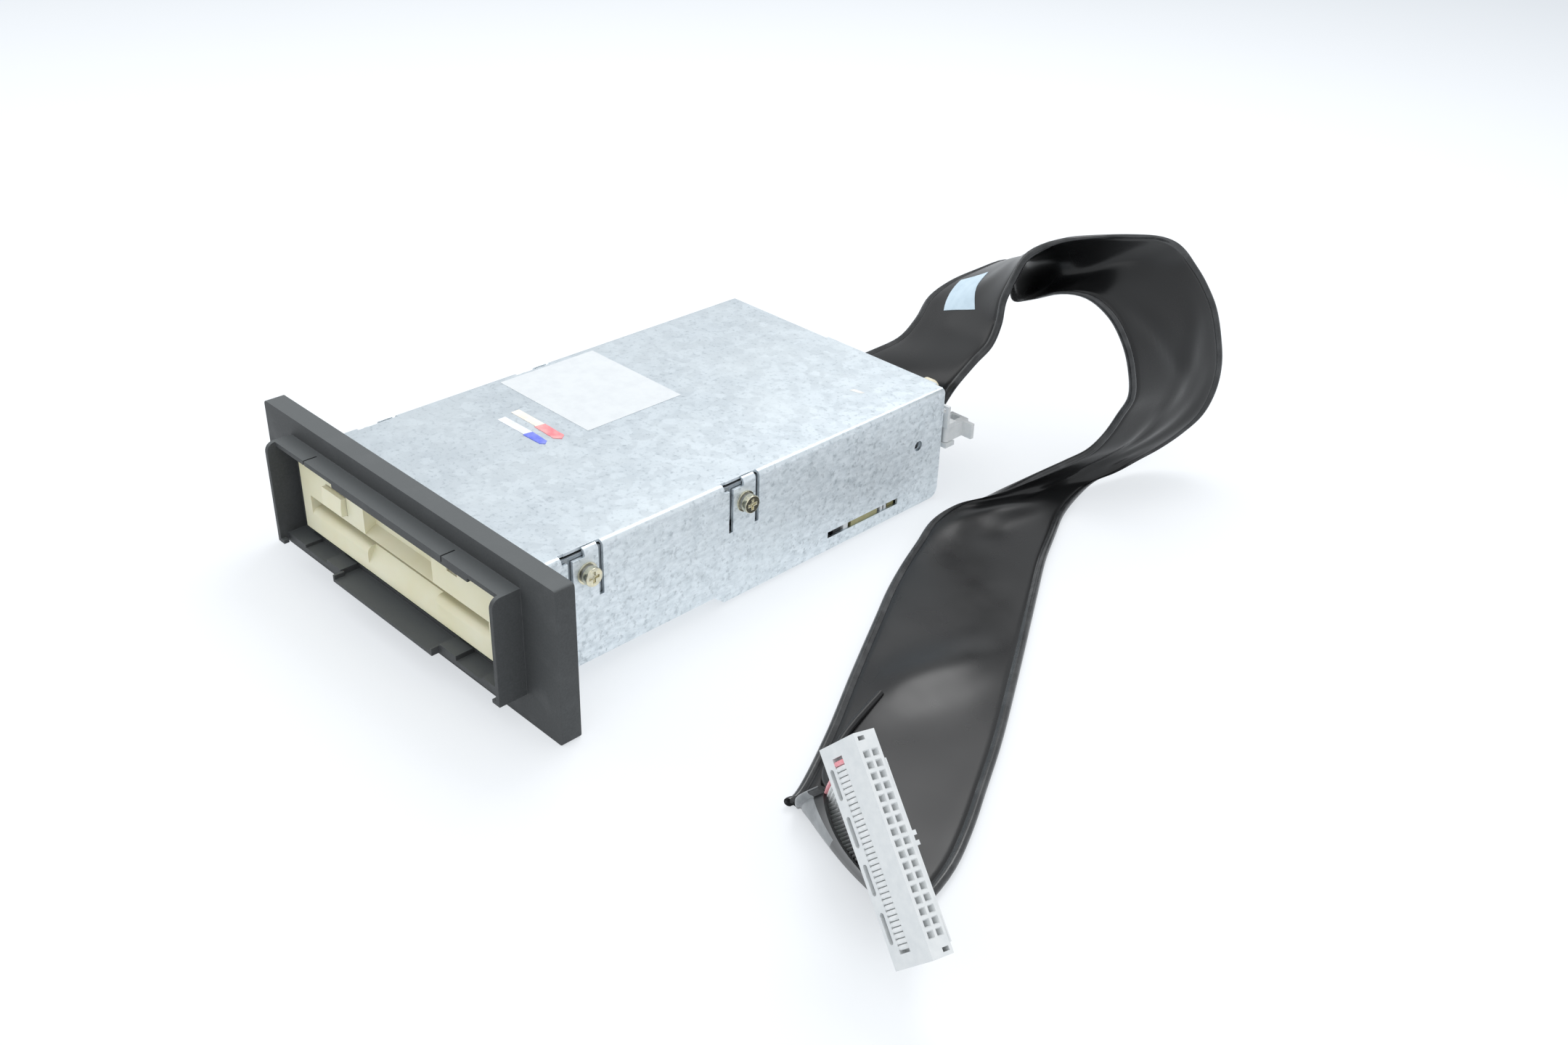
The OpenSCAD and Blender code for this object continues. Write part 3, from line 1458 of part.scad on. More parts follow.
module plug_ribbon() {
    y = plug_y + socket_body + ribbon_gap / 2;
    color("#b8bcc0") place() translate([socket_x, y, rear_header_z])
        block([-ribbon_w / 2, 0, -socket_t / 2], [ribbon_w / 2, ribbon_t, socket_t / 2]);
}

// A flat tube swept along rows of middle and half width; the section is given in half widths and half thicknesses
sleeve_section_share = [
    [-1, 0], [-0.97, 1], [-0.92, 0.7], [0.92, 0.7], [0.97, 1],
    [1, 0], [0.97, -1], [0.92, -0.7], [-0.92, -0.7], [-0.97, -1]
];
ribbon_section_share = [[-1, -1], [-1, 1], [1, 1], [1, -1]];
function middle_of(row) = [row[0], row[1], row[2]];
function across(row) = unit([row[3], row[4], row[5]]);
function heading(rows, i) = unit(middle_of(rows[min(i + 1, len(rows) - 1)]) - middle_of(rows[max(i - 1, 0)]));
function ring(rows, i, section, half_w, half_t) =
    let (up = unit(cross(across(rows[i]), heading(rows, i))))
        [for (p = section) middle_of(rows[i]) + p[0] * half_w * across(rows[i]) + p[1] * half_t * up];
function swept_points(rows, section, half_w, half_t) = [
    for (i = [0 : len(rows) - 1]) each ring(rows, i, section, half_w, half_t)
];
function swept_faces(rings, sides) = concat(
    [for (i = [1 : sides - 2]) [0, i + 1, i]],
    [for (r = [0 : rings - 2], i = [0 : sides - 1], half = [0, 1])
        let (a = r * sides + i, b = r * sides + (i + 1) % sides)
            half == 0 ? [a, b, b + sides] : [a, b + sides, a + sides]],
    [for (i = [1 : sides - 2]) let (o = (rings - 1) * sides) [o, o + i, o + i + 1]]
);

module swept(rows, section, half_w, half_t) {
    polyhedron(swept_points(rows, section, half_w, half_t), swept_faces(len(rows), len(section)));
}

module flat_cable() {
    color("#333537") place() swept(CABLE, sleeve_section_share, sleeve_w / 2, sleeve_bead_t / 2);
}

module on_connector() {
    place() translate(connector_at) rotate([connector_roll, connector_pitch, connector_yaw]) children();
}

module cable_connector() {
    color("#d7dadb") on_connector() ribbon_socket();
}

module ribbon_end() {
    color("#b8bcc0") place() swept(RIBBON, ribbon_section_share, ribbon_w / 2, ribbon_t / 2);
}

front_bezel();
bezel_screws();
housing_cover();
housing_base();
rear_panel();
base_screws();
side_screws();
spring_washers();
flat_washers();
type_label();
edge_guard();
drive_front();
led_window();
eject_button();
slot_flap();
flap_pin();
flap_spring();
drive_chassis();
drive_cover();
disk_carrier();
eject_slider();
eject_springs();
latch_lever();
stator_board();
spindle_bearing();
spindle_rotor();
spindle_shaft();
spindle_hub();
head_carriage();
lower_head();
upper_head_arm();
upper_head();
arm_pin();
guide_rods();
stepper_motor();
lead_screw();
main_board();
main_board_parts();
drive_header();
drive_plug();
internal_ribbon();
power_header();
power_plug();
power_lead();
adapter_board();
adapter_board_parts();
board_spacers();
board_screws();
rear_header();
latch_left();
latch_right();
latch_pins();
cable_plug();
plug_ribbon();
flat_cable();
ribbon_end();
cable_connector();
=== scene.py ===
import json
import math

import bmesh
import bpy
from mathutils import Matrix, Vector, noise


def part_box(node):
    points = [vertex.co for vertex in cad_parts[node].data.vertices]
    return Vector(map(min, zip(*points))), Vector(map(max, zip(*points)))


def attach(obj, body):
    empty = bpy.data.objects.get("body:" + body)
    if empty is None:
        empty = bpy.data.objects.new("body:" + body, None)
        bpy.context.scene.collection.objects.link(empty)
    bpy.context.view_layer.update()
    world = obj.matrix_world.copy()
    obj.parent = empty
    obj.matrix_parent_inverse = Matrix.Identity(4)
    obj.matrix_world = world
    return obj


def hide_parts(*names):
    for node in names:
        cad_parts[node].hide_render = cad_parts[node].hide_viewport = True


bl_info = {
    "name": "Panel floppy drive",
    "version": (1, 0, 0),
    "blender": (4, 5, 0),
    "location": "3D View > Sidebar > Floppy Drive",
    "description": "Dresses the packed floppy drive: bezel, steel box, screws, flat cable and ribbon socket",
    "category": "Object",
}

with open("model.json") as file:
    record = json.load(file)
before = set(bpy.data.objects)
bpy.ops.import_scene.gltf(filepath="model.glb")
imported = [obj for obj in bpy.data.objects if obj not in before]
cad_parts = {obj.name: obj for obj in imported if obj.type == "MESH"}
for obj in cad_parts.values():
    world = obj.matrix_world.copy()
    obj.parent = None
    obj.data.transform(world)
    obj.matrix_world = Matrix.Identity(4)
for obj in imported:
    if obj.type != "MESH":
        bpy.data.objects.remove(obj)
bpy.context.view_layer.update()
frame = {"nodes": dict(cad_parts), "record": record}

# Sizes below are in millimetres, counted from the middle of the bezel plate's lower front edge
MM = 0.001
FRONT_SHIFT = 91.2


def on_plate(point):
    """Turns a place in plate millimetres into metres of the part's frame."""
    x, y, z = point
    return Vector((x, y - FRONT_SHIFT, z)) * MM


# Materials

def linear(hex_colour):
    """Linear RGBA of an sRGB hex colour."""
    values = [int(hex_colour[i:i + 2], 16) / 255 for i in (1, 3, 5)]
    return tuple(v / 12.92 if v <= 0.04045 else ((v + 0.055) / 1.055) ** 2.4 for v in values) + (1.0,)


def per_mm(size):
    """Texture scale that gives a pattern about this many millimetres wide."""
    return 1000 / size


def add(tree, kind, inputs=None, **settings):
    """Adds one shader node, gives it its settings, then sets or links its inputs."""
    node = tree.nodes.new("ShaderNode" + kind)
    for key, value in settings.items():
        setattr(node, key, value)
    for key, value in (inputs or {}).items():
        if isinstance(value, bpy.types.NodeSocket):
            tree.links.new(value, node.inputs[key])
        else:
            node.inputs[key].default_value = value
    return node


def tone(colour):
    """Linear RGBA of a hex colour; a linear colour or a socket stays as it is."""
    return linear(colour) if isinstance(colour, str) else colour


def colour_of(key):
    """Linear RGBA of one of the part's main colours."""
    return tuple(getattr(bpy.context.scene.floppy_colours, key))


def start_material(name, colour, roughness, metallic=0.0, ior=1.5, **sockets):
    """A new material with its shader set; also gives its tree, the shader and the object's coordinates."""
    material = bpy.data.materials.new(name)
    material.use_nodes = True
    tree = material.node_tree
    shader = tree.nodes["Principled BSDF"]
    shader.inputs["Base Color"].default_value = tone(colour)
    shader.inputs["Roughness"].default_value = roughness
    shader.inputs["Metallic"].default_value = metallic
    if not metallic:
        shader.inputs["IOR"].default_value = ior
    for key, value in sockets.items():
        shader.inputs[key.replace("_", " ")].default_value = value
    material.diffuse_color = tone(colour)
    return material, tree, shader, add(tree, "TexCoord").outputs["Object"]


def calc(tree, operation, *values):
    """Result of one sum with numbers or sockets."""
    return add(tree, "Math", dict(enumerate(values)), operation=operation).outputs[0]


def blend(tree, factor, first, second):
    """Colour between two others by a factor socket; each is a hex colour, a linear colour or a socket."""
    return add(tree, "Mix", {0: factor, 6: tone(first), 7: tone(second)}, data_type="RGBA").outputs[2]


def paint(tree, shader, factor, first, second):
    """Colours the shader between two colours by a factor socket."""
    tree.links.new(blend(tree, factor, first, second), shader.inputs["Base Color"])


def looks_up(tree):
    """How far a face looks up: 1 on level tops, 0 on upright sides and -1 underneath."""
    return add(tree, "SeparateXYZ", {"Vector": add(tree, "TexCoord").outputs["Normal"]}).outputs["Z"]


def spread(tree, value, low, high, to_low=0.0, to_high=1.0):
    """Stretches part of a value's range."""
    return add(tree, "MapRange", {"Value": value, "From Min": low, "From Max": high,
                                  "To Min": to_low, "To Max": to_high}).outputs["Result"]


def relief(tree, shader, height, depth_mm):
    """Bumps the shader by a height socket whose full range is this deep."""
    bump = add(tree, "Bump", {"Height": height, "Distance": depth_mm * MM})
    tree.links.new(bump.outputs["Normal"], shader.inputs["Normal"])


def grain(tree, where, size, detail, stretch=None, roughness=0.55):
    """Value noise about this many millimetres wide, stretched along an axis if asked."""
    if stretch:
        where = add(tree, "Mapping", {"Vector": where, "Scale": stretch}).outputs["Vector"]
    return add(tree, "TexNoise", {"Vector": where, "Scale": per_mm(size), "Detail": detail,
                                  "Roughness": roughness}).outputs["Fac"]


def mottled(name, colour, roughness, shades=(), patch=2.0, detail=2.0, low=0.3, high=0.7, bumps=(),
            **settings):
    """A material that drifts between two shades in patches, with bumps of (size, detail, depth)."""
    material, tree, shader, where = start_material(name, colour, roughness, **settings)
    if shades:
        paint(tree, shader, spread(tree, grain(tree, where, patch, detail), low, high), *shades)
    if bumps:
        relief(tree, shader, grain(tree, where, *bumps[:2]), bumps[2])
    return material


def galvanised_sheet():
    """Hot-dip galvanised steel sheet: cool, pale, clouded and finely speckled; upright sides are painted
    lighter as painted light, and carry more mottle.
    """
    material, tree, shader, where = start_material("galvanised_steel_sheet", "#d3dde4", 0.4, metallic=1.0)
    # upright is 1 on upright sides and 0.5 on level faces; it paints the sides lighter as painted light, and
    # weights their mottle and roughness
    upright = spread(tree, calc(tree, "ABSOLUTE", looks_up(tree)), 0.3, 0.9, 1.0, 0.5)
    cells = add(tree, "TexVoronoi", {"Vector": where, "Scale": per_mm(3.2)})
    flakes = add(tree, "SeparateColor", {"Color": cells.outputs["Color"]}).outputs[0]
    mottle = spread(tree, grain(tree, where, 2.6, 5.0, (1.0, 0.7, 1.5), 0.65), 0.40, 0.68)
    stains = spread(tree, grain(tree, where, 7, 6.0, (1.0, 1.0, 1.4), 0.7), 0.55, 0.72)
    specks = spread(tree, grain(tree, where, 1.5, 4.0, roughness=0.6), 0.54, 0.68, 0.0, 0.5)
    clouds = spread(tree, grain(tree, where, 30, 3.0), 0.35, 0.7, 0.0, 0.4)
    colour = blend(tree, calc(tree, "MULTIPLY", flakes, 0.35), colour_of("steel"), "#dbe3e8")
    # The first shade (#f0f6fa) is painted light that brightens the upright sides; the others are the sheet's
    # own tone
    for factor, shade in (
        (spread(tree, upright, 0.5, 1.0), "#f0f6fa"), (calc(tree, "MULTIPLY", mottle, upright), "#d4dce1"),
        (calc(tree, "MULTIPLY", stains, 0.4), "#b8bfc2"), (specks, "#98a3aa"), (clouds, "#e6edf0"),
    ):
        colour = blend(tree, factor, colour, shade)
    tree.links.new(colour, shader.inputs["Base Color"])
    rough = calc(tree, "ADD", spread(tree, flakes, 0, 1, 0.34, 0.42), spread(tree, upright, 0.5, 1, 0, 0.26))
    rough = calc(tree, "ADD", rough, spread(tree, stains, 0, 1, 0, 0.1))
    tree.links.new(rough, shader.inputs["Roughness"])
    relief(tree, shader, grain(tree, where, 1.1, 3.0), 0.01)
    return material


def zinc_plated_steel():
    """Pressed steel with bright zinc plating: grey and even, with a slight mottle."""
    return mottled("zinc_plated_pressed_steel", "#a4aaaf", 0.38, ("#949a9f", "#b3b9bd"), 3.5, 3.0,
                   bumps=(0.4, 2.0, 0.006), metallic=1.0)


def yellow_zinc():
    """Yellow passivated zinc on screws: pale straw silver with greenish tints that drift over each head."""
    return mottled("yellow_passivated_zinc", "#dcd9c8", 0.17, ("#e0d9bd", "#cbc8b6"), 1.6, 2.0, 0.35, 0.65,
                   bumps=(0.25, 2.0, 0.006), metallic=1.0)


def ground_steel():
    """Ground and polished steel of pins, rods and shafts: bright with a very fine grain."""
    return mottled("ground_steel", "#c9cdd0", 0.18, bumps=(0.12, 1.0, 0.002), metallic=1.0)


def spring_wire():
    """Oiled spring steel: dark grey and smooth."""
    return mottled("oiled_spring_steel", "#8a8d90", 0.34, ("#7d8083", "#a2a5a8"), 1.2, metallic=1.0)


def charcoal_abs():
    """Moulded charcoal ABS with an eroded finish: fine dull grain, rubbed spots, and upward faces painted
    lighter as painted light from above.
    """
    material, tree, shader, where = start_material("moulded_charcoal_abs", "#3e4041", 0.62)
    specks = spread(tree, grain(tree, where, 0.6, 3.0), 0.3, 0.75)
    rubbed = spread(tree, grain(tree, where, 9, 5.0), 0.52, 0.8)
    colour = blend(tree, specks, colour_of("bezel"), "#444647")
    colour = blend(tree, spread(tree, rubbed, 0, 1, 0, 0.35), colour, "#505253")
    # Upward faces are painted lighter (#606465), as painted light from above
    paint(tree, shader, spread(tree, looks_up(tree), 0.6, 0.98, 0, 0.75), colour, "#606465")
    tree.links.new(spread(tree, rubbed, 0, 1, 0.66, 0.54), shader.inputs["Roughness"])
    relief(tree, shader, grain(tree, where, 0.32, 2.0), 0.02)
    return material


def ivory_abs():
    """Moulded ivory ABS, slightly yellowed with age: smooth, semi-matt and a touch warmer in patches."""
    return mottled("aged_ivory_abs", "#e4dfc4", 0.42, (colour_of("drive_front"), "#dfd9b6"), 16, 3.0,
                   bumps=(0.5, 2.0, 0.006), ior=1.53, Subsurface_Weight=0.06, Subsurface_Scale=0.002)


def light_grey_pbt():
    """Moulded light grey glass-filled PBT of connectors: cool, even, with a faint flow mottle."""
    return mottled("moulded_light_grey_pbt", "#dcdfe0", 0.45, (colour_of("connector"), "#e1e3e3"), 2.2, 3.0,
                   bumps=(0.3, 2.0, 0.006), ior=1.55)


def dark_plastic():
    """Moulded black plastic of inner parts: near black, dull sheen."""
    return mottled("moulded_black_plastic", "#232425", 0.5, ("#1f2021", "#2a2b2c"), bumps=(0.3, 2.0, 0.008))


def black_sleeve():
    """Extruded soft PVC sleeve: black with a satin shine that wanders slowly over its buckles."""
    material, tree, shader, where = start_material("extruded_black_pvc", "#101011", 0.3,
                                                   Specular_IOR_Level=0.4)
    rubbed = spread(tree, grain(tree, where, 22, 1.5), 0.3, 0.8)
    paint(tree, shader, rubbed, colour_of("sleeve"), "#151617")
    patches = spread(tree, grain(tree, where, 9, 1.0), 0.3, 0.8, 0, 0.05)
    rough = calc(tree, "ADD", spread(tree, rubbed, 0, 1, 0.25, 0.31), patches)
    tree.links.new(rough, shader.inputs["Roughness"])
    relief(tree, shader, grain(tree, where, 16, 0.0), 0.1)
    return material


def piped_edge():
    """The sleeve's welded edge: the same black PVC drawn into a smooth rib, coloured lighter than the sleeve
    as a painted line of highlight.
    """
    return mottled("welded_black_pvc", "#2c2d2e", 0.2, ("#272829", "#444546"), 6, 3.0, 0.4, 0.75)


def grey_ribbon():
    """Grey PVC insulation of ribbon wires: pale, soft and slightly shiny."""
    return mottled("grey_ribbon_pvc", "#e4e6e6", 0.4, (colour_of("ribbon"), "#ebecec"), 1.4, ior=1.53)


def red_wire():
    """The marked first wire of the ribbon: faded red print over grey insulation."""
    return mottled("red_marked_pvc", "#ea9aa2", 0.42, ("#ee8f98", "#efb8bd"), 0.8, 3.0, 0.35, 0.65, ior=1.53)


def painted_highlight_material():
    """Grey on the sleeve's outer skin near its mouth: a painted highlight of the glossy fold, smooth,
    slightly creased, and darker in the creases' low parts as painted shade.
    """
    material, tree, shader, where = start_material("grey_liner_film", "#9b9ea1", 0.34)
    crease = grain(tree, where, 5, 3.0)
    # Grey painted highlight, darker in the creases' low parts as painted shade
    paint(tree, shader, spread(tree, crease, 0.3, 0.7), "#75787a", "#9b9ea0")
    relief(tree, shader, crease, 0.15)
    return material


def label_film(name, first, second):
    """Bare matt label film: flat colour with paper-fine grain and slight soiling."""
    return mottled(name, first, 0.5, (first, second), 4, 4.0, 0.4, 0.75, bumps=(0.5, 2.0, 0.005), ior=1.48)


def circuit_board(name, first, second):
    """Glass-fibre board under solder lacquer: a satin skin whose tracks show as faint stripes."""
    material, tree, shader, where = start_material(name, first, 0.35)
    tracks = add(tree, "TexWave", {"Vector": where, "Scale": per_mm(3.2), "Distortion": 2.0, "Detail": 2.0})
    paint(tree, shader, tracks.outputs["Fac"], first, second)
    relief(tree, shader, grain(tree, where, 0.5, 2.0), 0.01)
    return material


def plain_moulding(name, first, second, roughness):
    """Smooth moulded plastic with a slight flow mottle."""
    return mottled(name, first, roughness, (first, second), 2.5)


def oiled_bronze():
    """Sintered bronze soaked with oil: warm, dull, finely porous."""
    return mottled("sintered_bronze", "#b8935a", 0.4, bumps=(0.3, 2.0, 0.01), metallic=1.0)


FINISHES = {
    "galvanised": galvanised_sheet,
    "inner_steel": zinc_plated_steel,
    "yellow_zinc": yellow_zinc,
    "bright_steel": ground_steel,
    "spring_steel": spring_wire,
    "bezel_plastic": charcoal_abs,
    "ivory_plastic": ivory_abs,
    "header_plastic": light_grey_pbt,
    "dark_plastic": dark_plastic,
    "sleeve_pvc": black_sleeve,
    "piped_edge": piped_edge,
    "ribbon_pvc": grey_ribbon,
    "red_wire": red_wire,
    "liner_film": painted_highlight_material,
    "bronze": oiled_bronze,
    "label_foil": lambda: label_film("matt_white_polyester", colour_of("label"), "#d6dadd"),
    "cable_label": lambda: label_film("pale_blue_polyester", "#c9dce8", "#bdd1de"),
    "red_marker": lambda: label_film("red_marker_ink", "#f0848c", "#f5b9b6"),
    "blue_marker": lambda: label_film("blue_marker_ink", "#5f6fe0", "#9aa4ec"),
    "cream_tape": lambda: label_film("cream_paper_tape", "#f4efe6", "#e9dfd4"),
    "grey_tape": lambda: label_film("pale_grey_paper_tape", "#eef0f3", "#dfe2e8"),
    "dry_adhesive": lambda: label_film("dry_adhesive_spot", "#eceae6", "#d9d6d2"),
    "board": lambda: circuit_board("green_lacquered_board", "#2f6b45", "#255a39"),
    "adapter_lacquer": lambda: circuit_board("olive_lacquered_board", "#a39e72", "#857f52"),
    "led_plastic": lambda: plain_moulding("clear_grey_lens", "#a8aaa4", "#b6b8b1", 0.2),
    "ceramic": lambda: plain_moulding("polished_ceramic", "#d9d6cc", "#e2dfd6", 0.15),
    "lever_plastic": lambda: plain_moulding("natural_acetal", "#d8cfa8", "#ddd6b4", 0.4),
    "lead_pvc": lambda: plain_moulding("yellow_lead_pvc", "#c9b23c", "#d2bd52", 0.4),
    "guard_plastic": lambda: plain_moulding("cream_edge_guard", "#e6dfc8", "#dcd3b8", 0.5),
}
MADE = {}


def finish_of(slot):
    """The material of a slot, made once."""
    if slot not in MADE:
        MADE[slot] = FINISHES[slot]()
    return MADE[slot]


# Mesh helpers: each adds to a bmesh in millimetres

def block(bm, low, high, slot=0):
    """A box between two corners."""
    corners = [bm.verts.new((x, y, z))
               for z in (low[2], high[2]) for y in (low[1], high[1]) for x in (low[0], high[0])]
    for loop in ((0, 2, 3, 1), (4, 5, 7, 6), (0, 1, 5, 4), (2, 6, 7, 3), (0, 4, 6, 2), (1, 3, 7, 5)):
        bm.faces.new([corners[i] for i in loop]).material_index = slot


def band(bm, first, second, slot=0):
    """Joins two closed rings of vertices with quads."""
    for i in range(len(first)):
        j = (i + 1) % len(first)
        bm.faces.new((first[i], first[j], second[j], second[i])).material_index = slot


def skin(bm, rings, slot=0, caps=True):
    """Joins rings of places with quads, and closes the two ends."""
    rows = [[bm.verts.new(p) for p in ring] for ring in rings]
    for a, b in zip(rows, rows[1:]):
        band(bm, a, b, slot)
    if caps:
        bm.faces.new(rows[0][::-1]).material_index = slot
        bm.faces.new(rows[-1]).material_index = slot
    return rows


def rim_of(grid):
    """The outermost items of a grid, walked once round."""
    return grid[0] + [row[-1] for row in grid[1:]] + grid[-1][-2::-1] + [row[0] for row in grid[-2:0:-1]]


def circle(centre, across, along, radius, sides):
    """Places round a circle spanned by two unit directions."""
    return [centre + radius * (math.cos(t) * across + math.sin(t) * along)
            for t in (2 * math.pi * i / sides for i in range(sides))]


def wire(bm, places, radius, sides=8, slot=0):
    """A round wire through places."""
    places = [Vector(p) for p in places]
    side = (places[1] - places[0]).orthogonal().normalized()
    rings = []
    for i, p in enumerate(places):
        ahead = (places[min(i + 1, len(places) - 1)] - places[max(i - 1, 0)]).normalized()
        side = (side - side.dot(ahead) * ahead).normalized()
        rings.append(circle(p, side, ahead.cross(side), radius, sides))
    skin(bm, rings, slot)


# Edges sharper than this stay crisp and are rounded; faces closer than the second are one flat face
CREASE = 35
FLAT = 0.6


def sharpen(mesh, angle):
    """Smooth faces, with edges sharper than the angle left crisp."""
    bm = bmesh.new()
    bm.from_mesh(mesh)
    bmesh.ops.recalc_face_normals(bm, faces=bm.faces)
    for face in bm.faces:
        face.smooth = True
    for edge in bm.edges:
        edge.smooth = len(edge.link_faces) == 2 and edge.calc_face_angle(0.0) < math.radians(angle)
    bm.to_mesh(mesh)
    bm.free()


def soften(piece, width):
    """Rounds a piece's edges as its mould or press would."""
    bevel = piece.modifiers.new("rounded edges", "BEVEL")
    bevel.width = width * MM
    bevel.segments = 2
    bevel.limit_method = "ANGLE"
    bevel.angle_limit = math.radians(CREASE)
    bevel.harden_normals = True


def in_scene(name, data):
    """A new object in the scene."""
    item = bpy.data.objects.new(name, data)
    bpy.context.scene.collection.objects.link(item)
    return item


def make_piece(name, bm, slots, body, frame_of=on_plate, replaces=(), bevel=None, angle=CREASE):
    """Turns a bmesh in millimetres into a piece that rides a body."""
    for vert in bm.verts:
        vert.co = frame_of(vert.co)
    mesh = bpy.data.meshes.new(name)
    bm.to_mesh(mesh)
    bm.free()
    sharpen(mesh, angle)
    piece = in_scene(name, mesh)
    for slot in slots:
        mesh.materials.append(finish_of(slot))
    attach(piece, body)
    if bevel:
        soften(piece, bevel)
    if replaces:
        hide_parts(*replaces)
    return piece


def body_of_node(node):
    """Name of the body that carries a node."""
    return next(name for name, nodes in frame["record"]["behaviour"]["bodies"].items() if node in nodes)


def softened_copy(node, width, angle=CREASE):
    """A piece with the node's own shape, its flat faces whole and its edges rounded."""
    bm = bmesh.new()
    bm.from_mesh(frame["nodes"][node].data)
    bmesh.ops.remove_doubles(bm, verts=bm.verts, dist=1e-6)
    bmesh.ops.dissolve_limit(bm, angle_limit=math.radians(FLAT), verts=bm.verts, edges=bm.edges)
    slot = next(s["material_slot"] for s in frame["record"]["subparts"] if s["node"] == node)
    for vert in bm.verts:
        vert.co = (vert.co + Vector((0, FRONT_SHIFT * MM, 0))) / MM
    make_piece(node + "_dressed", bm, [slot], body_of_node(node), replaces=[node], bevel=width, angle=angle)


def size_of(key):
    """One of the part's sizes in millimetres."""
    return getattr(bpy.context.scene.floppy_sizes, key) / MM


def catmull(rows, steps):
    """Smooth rows of numbers between the given ones."""
    out = []
    for i in range(len(rows) - 1):
        a, b, c, d = (rows[max(i - 1, 0)], rows[i], rows[i + 1], rows[min(i + 2, len(rows) - 1)])
        for k in range(steps):
            t = k / steps
            out.append([0.5 * (2 * q + (r - p) * t + (2 * p - 5 * q + 4 * r - s) * t * t
                               + (3 * q - p - 3 * r + s) * t ** 3) for p, q, r, s in zip(a, b, c, d)])
    out.append(list(rows[-1]))
    return out


# The cable's route: middle and direction of its width, the same places as in the part's source
CABLE = [
    (21, 186.7, 27.05, 24, 0, 0), (21, 186.7, 28.05, 24, 0, 0), (21.5, 188, 30.5, 23.5, -1, 0.5),
    (25, 193, 35.5, 23.5, -4.5, 3), (29, 200, 41.5, 22.5, -6.5, 5), (31, 206, 47.5, 22.5, -7, 4.5),
    (31.5, 210.5, 54.5, 22.5, -8, 4.5), (33, 215, 61, 20.5, -11, 6), (37, 220, 67.5, 18, -13.5, 8),
    (41, 223.5, 72.5, 16, -15, 9.5), (45.5, 225, 75, 16, -14, 11.5), (50.5, 224.5, 76, 17, -9.5, 14),
    (57, 224.5, 76, 18, -2, 15.5), (64, 225.5, 76, 17, 7.5, 15), (71, 229.5, 77, 13.5, 16.5, 11),
    (77, 234.5, 77, 9, 21.5, 5.5), (82, 239.5, 74, 5, 23.5, 2), (87.5, 243.5, 67.5, 3, 24, 1),
    (92, 246.5, 58.5, 2.5, 24, 1), (95, 248, 48.5, 2.5, 24, 0.5), (96.5, 248.5, 39, 3, 24, 0),
    (95.5, 247, 30.5, 4.5, 23.5, -1), (93.5, 244, 22.5, 5, 23.5, -1.5), (90.5, 239, 16.5, 4.5, 23.5, -2),
    (86.5, 232.5, 12, 4.5, 23.5, -3), (82.5, 224, 8.5, 5, 23, -3), (79.5, 214.5, 6, 6.5, 23, -2.5),
    (77, 203.5, 4.5, 7.5, 22.5, -2), (76, 192, 3.6, 10.5, 21.5, -1.5), (78, 179.5, 2.8, 12.5, 20.5, -1),
    (83.5, 166.5, 2.2, 13.5, 20, -0.5), (90, 152, 1.8, 14.5, 19, 0), (98, 137, 1.7, 16, 18, 0),
    (106, 123, 1.7, 16.5, 17.5, 0), (122, 95, 1.7, 17.5, 16.5, 0), (136, 70.5, 1.7, 17.5, 16.5, 0),
    (147.5, 48, 1.7, 18, 16, 0), (151.5, 38, 1.8, 21, 11, 0), (155, 29.5, 2, 25, 0.5, 0),
    (157.2, 24.3, 3.2, 27, -4, 0), (159, 21.2, 6.5, 26.5, -6, -1), (164.5, 21.5, 12, 24, -6.6, -1.4),
]

# The bare ribbon from the sleeve's mouth through the socket
RIBBON = [
    (164.5, 21.5, 12, 24, -6.6, -1.4), (167, 19.5, 15, 22, -6.5, -6), (170.5, 17.5, 18.5, 20, -6.5, -11),
    (174, 15.8, 21.8, 18.5, -6.2, -14), (176.6, 14.4, 24.4, 17.3, -5.5, -15.7),
    (177.7, 12.8, 26.3, 17.3, -5.5, -15.7), (177.6, 11.1, 27.1, 17.3, -5.5, -15.7),
    (176.7, 5.2, 28.2, 17.3, -5.5, -15.7),
]

# A strip torn off the sleeve's edge, from the mouth to where it lies on the cable
TORN_EDGE = [
    (155.4, 26.4, 11.8), (148, 30, 9.5), (140, 34.5, 6.2), (133, 39, 4.2), (128.7, 45.1, 3.5),
    (122.9, 58.1, 3.5), (117.6, 77.3, 3.5),
]

# The socket at the cable's end: middle of its mating face, and its directions along, back and across
SOCKET_AT = Vector((184.2, 8.5, 35.3))
SOCKET_ALONG = Vector((0.72, -0.229, -0.655)).normalized()
SOCKET_ACROSS = Vector((0.147, 0.973, -0.179)).normalized()
SOCKET_BACK = SOCKET_ACROSS.cross(SOCKET_ALONG).normalized()


def socket_in_part(point):
    """Turns a place in the socket's own directions, in millimetres, into metres of the part's frame."""
    x, y, z = point
    return on_plate(SOCKET_AT + SOCKET_ALONG * x + SOCKET_BACK * y + SOCKET_ACROSS * z)


# Distance between stations along the cable, and steps between two rows of its route and of the ribbon's
STATION = 1.8
ROUTE_STEPS = 12
RIBBON_STEPS = 4


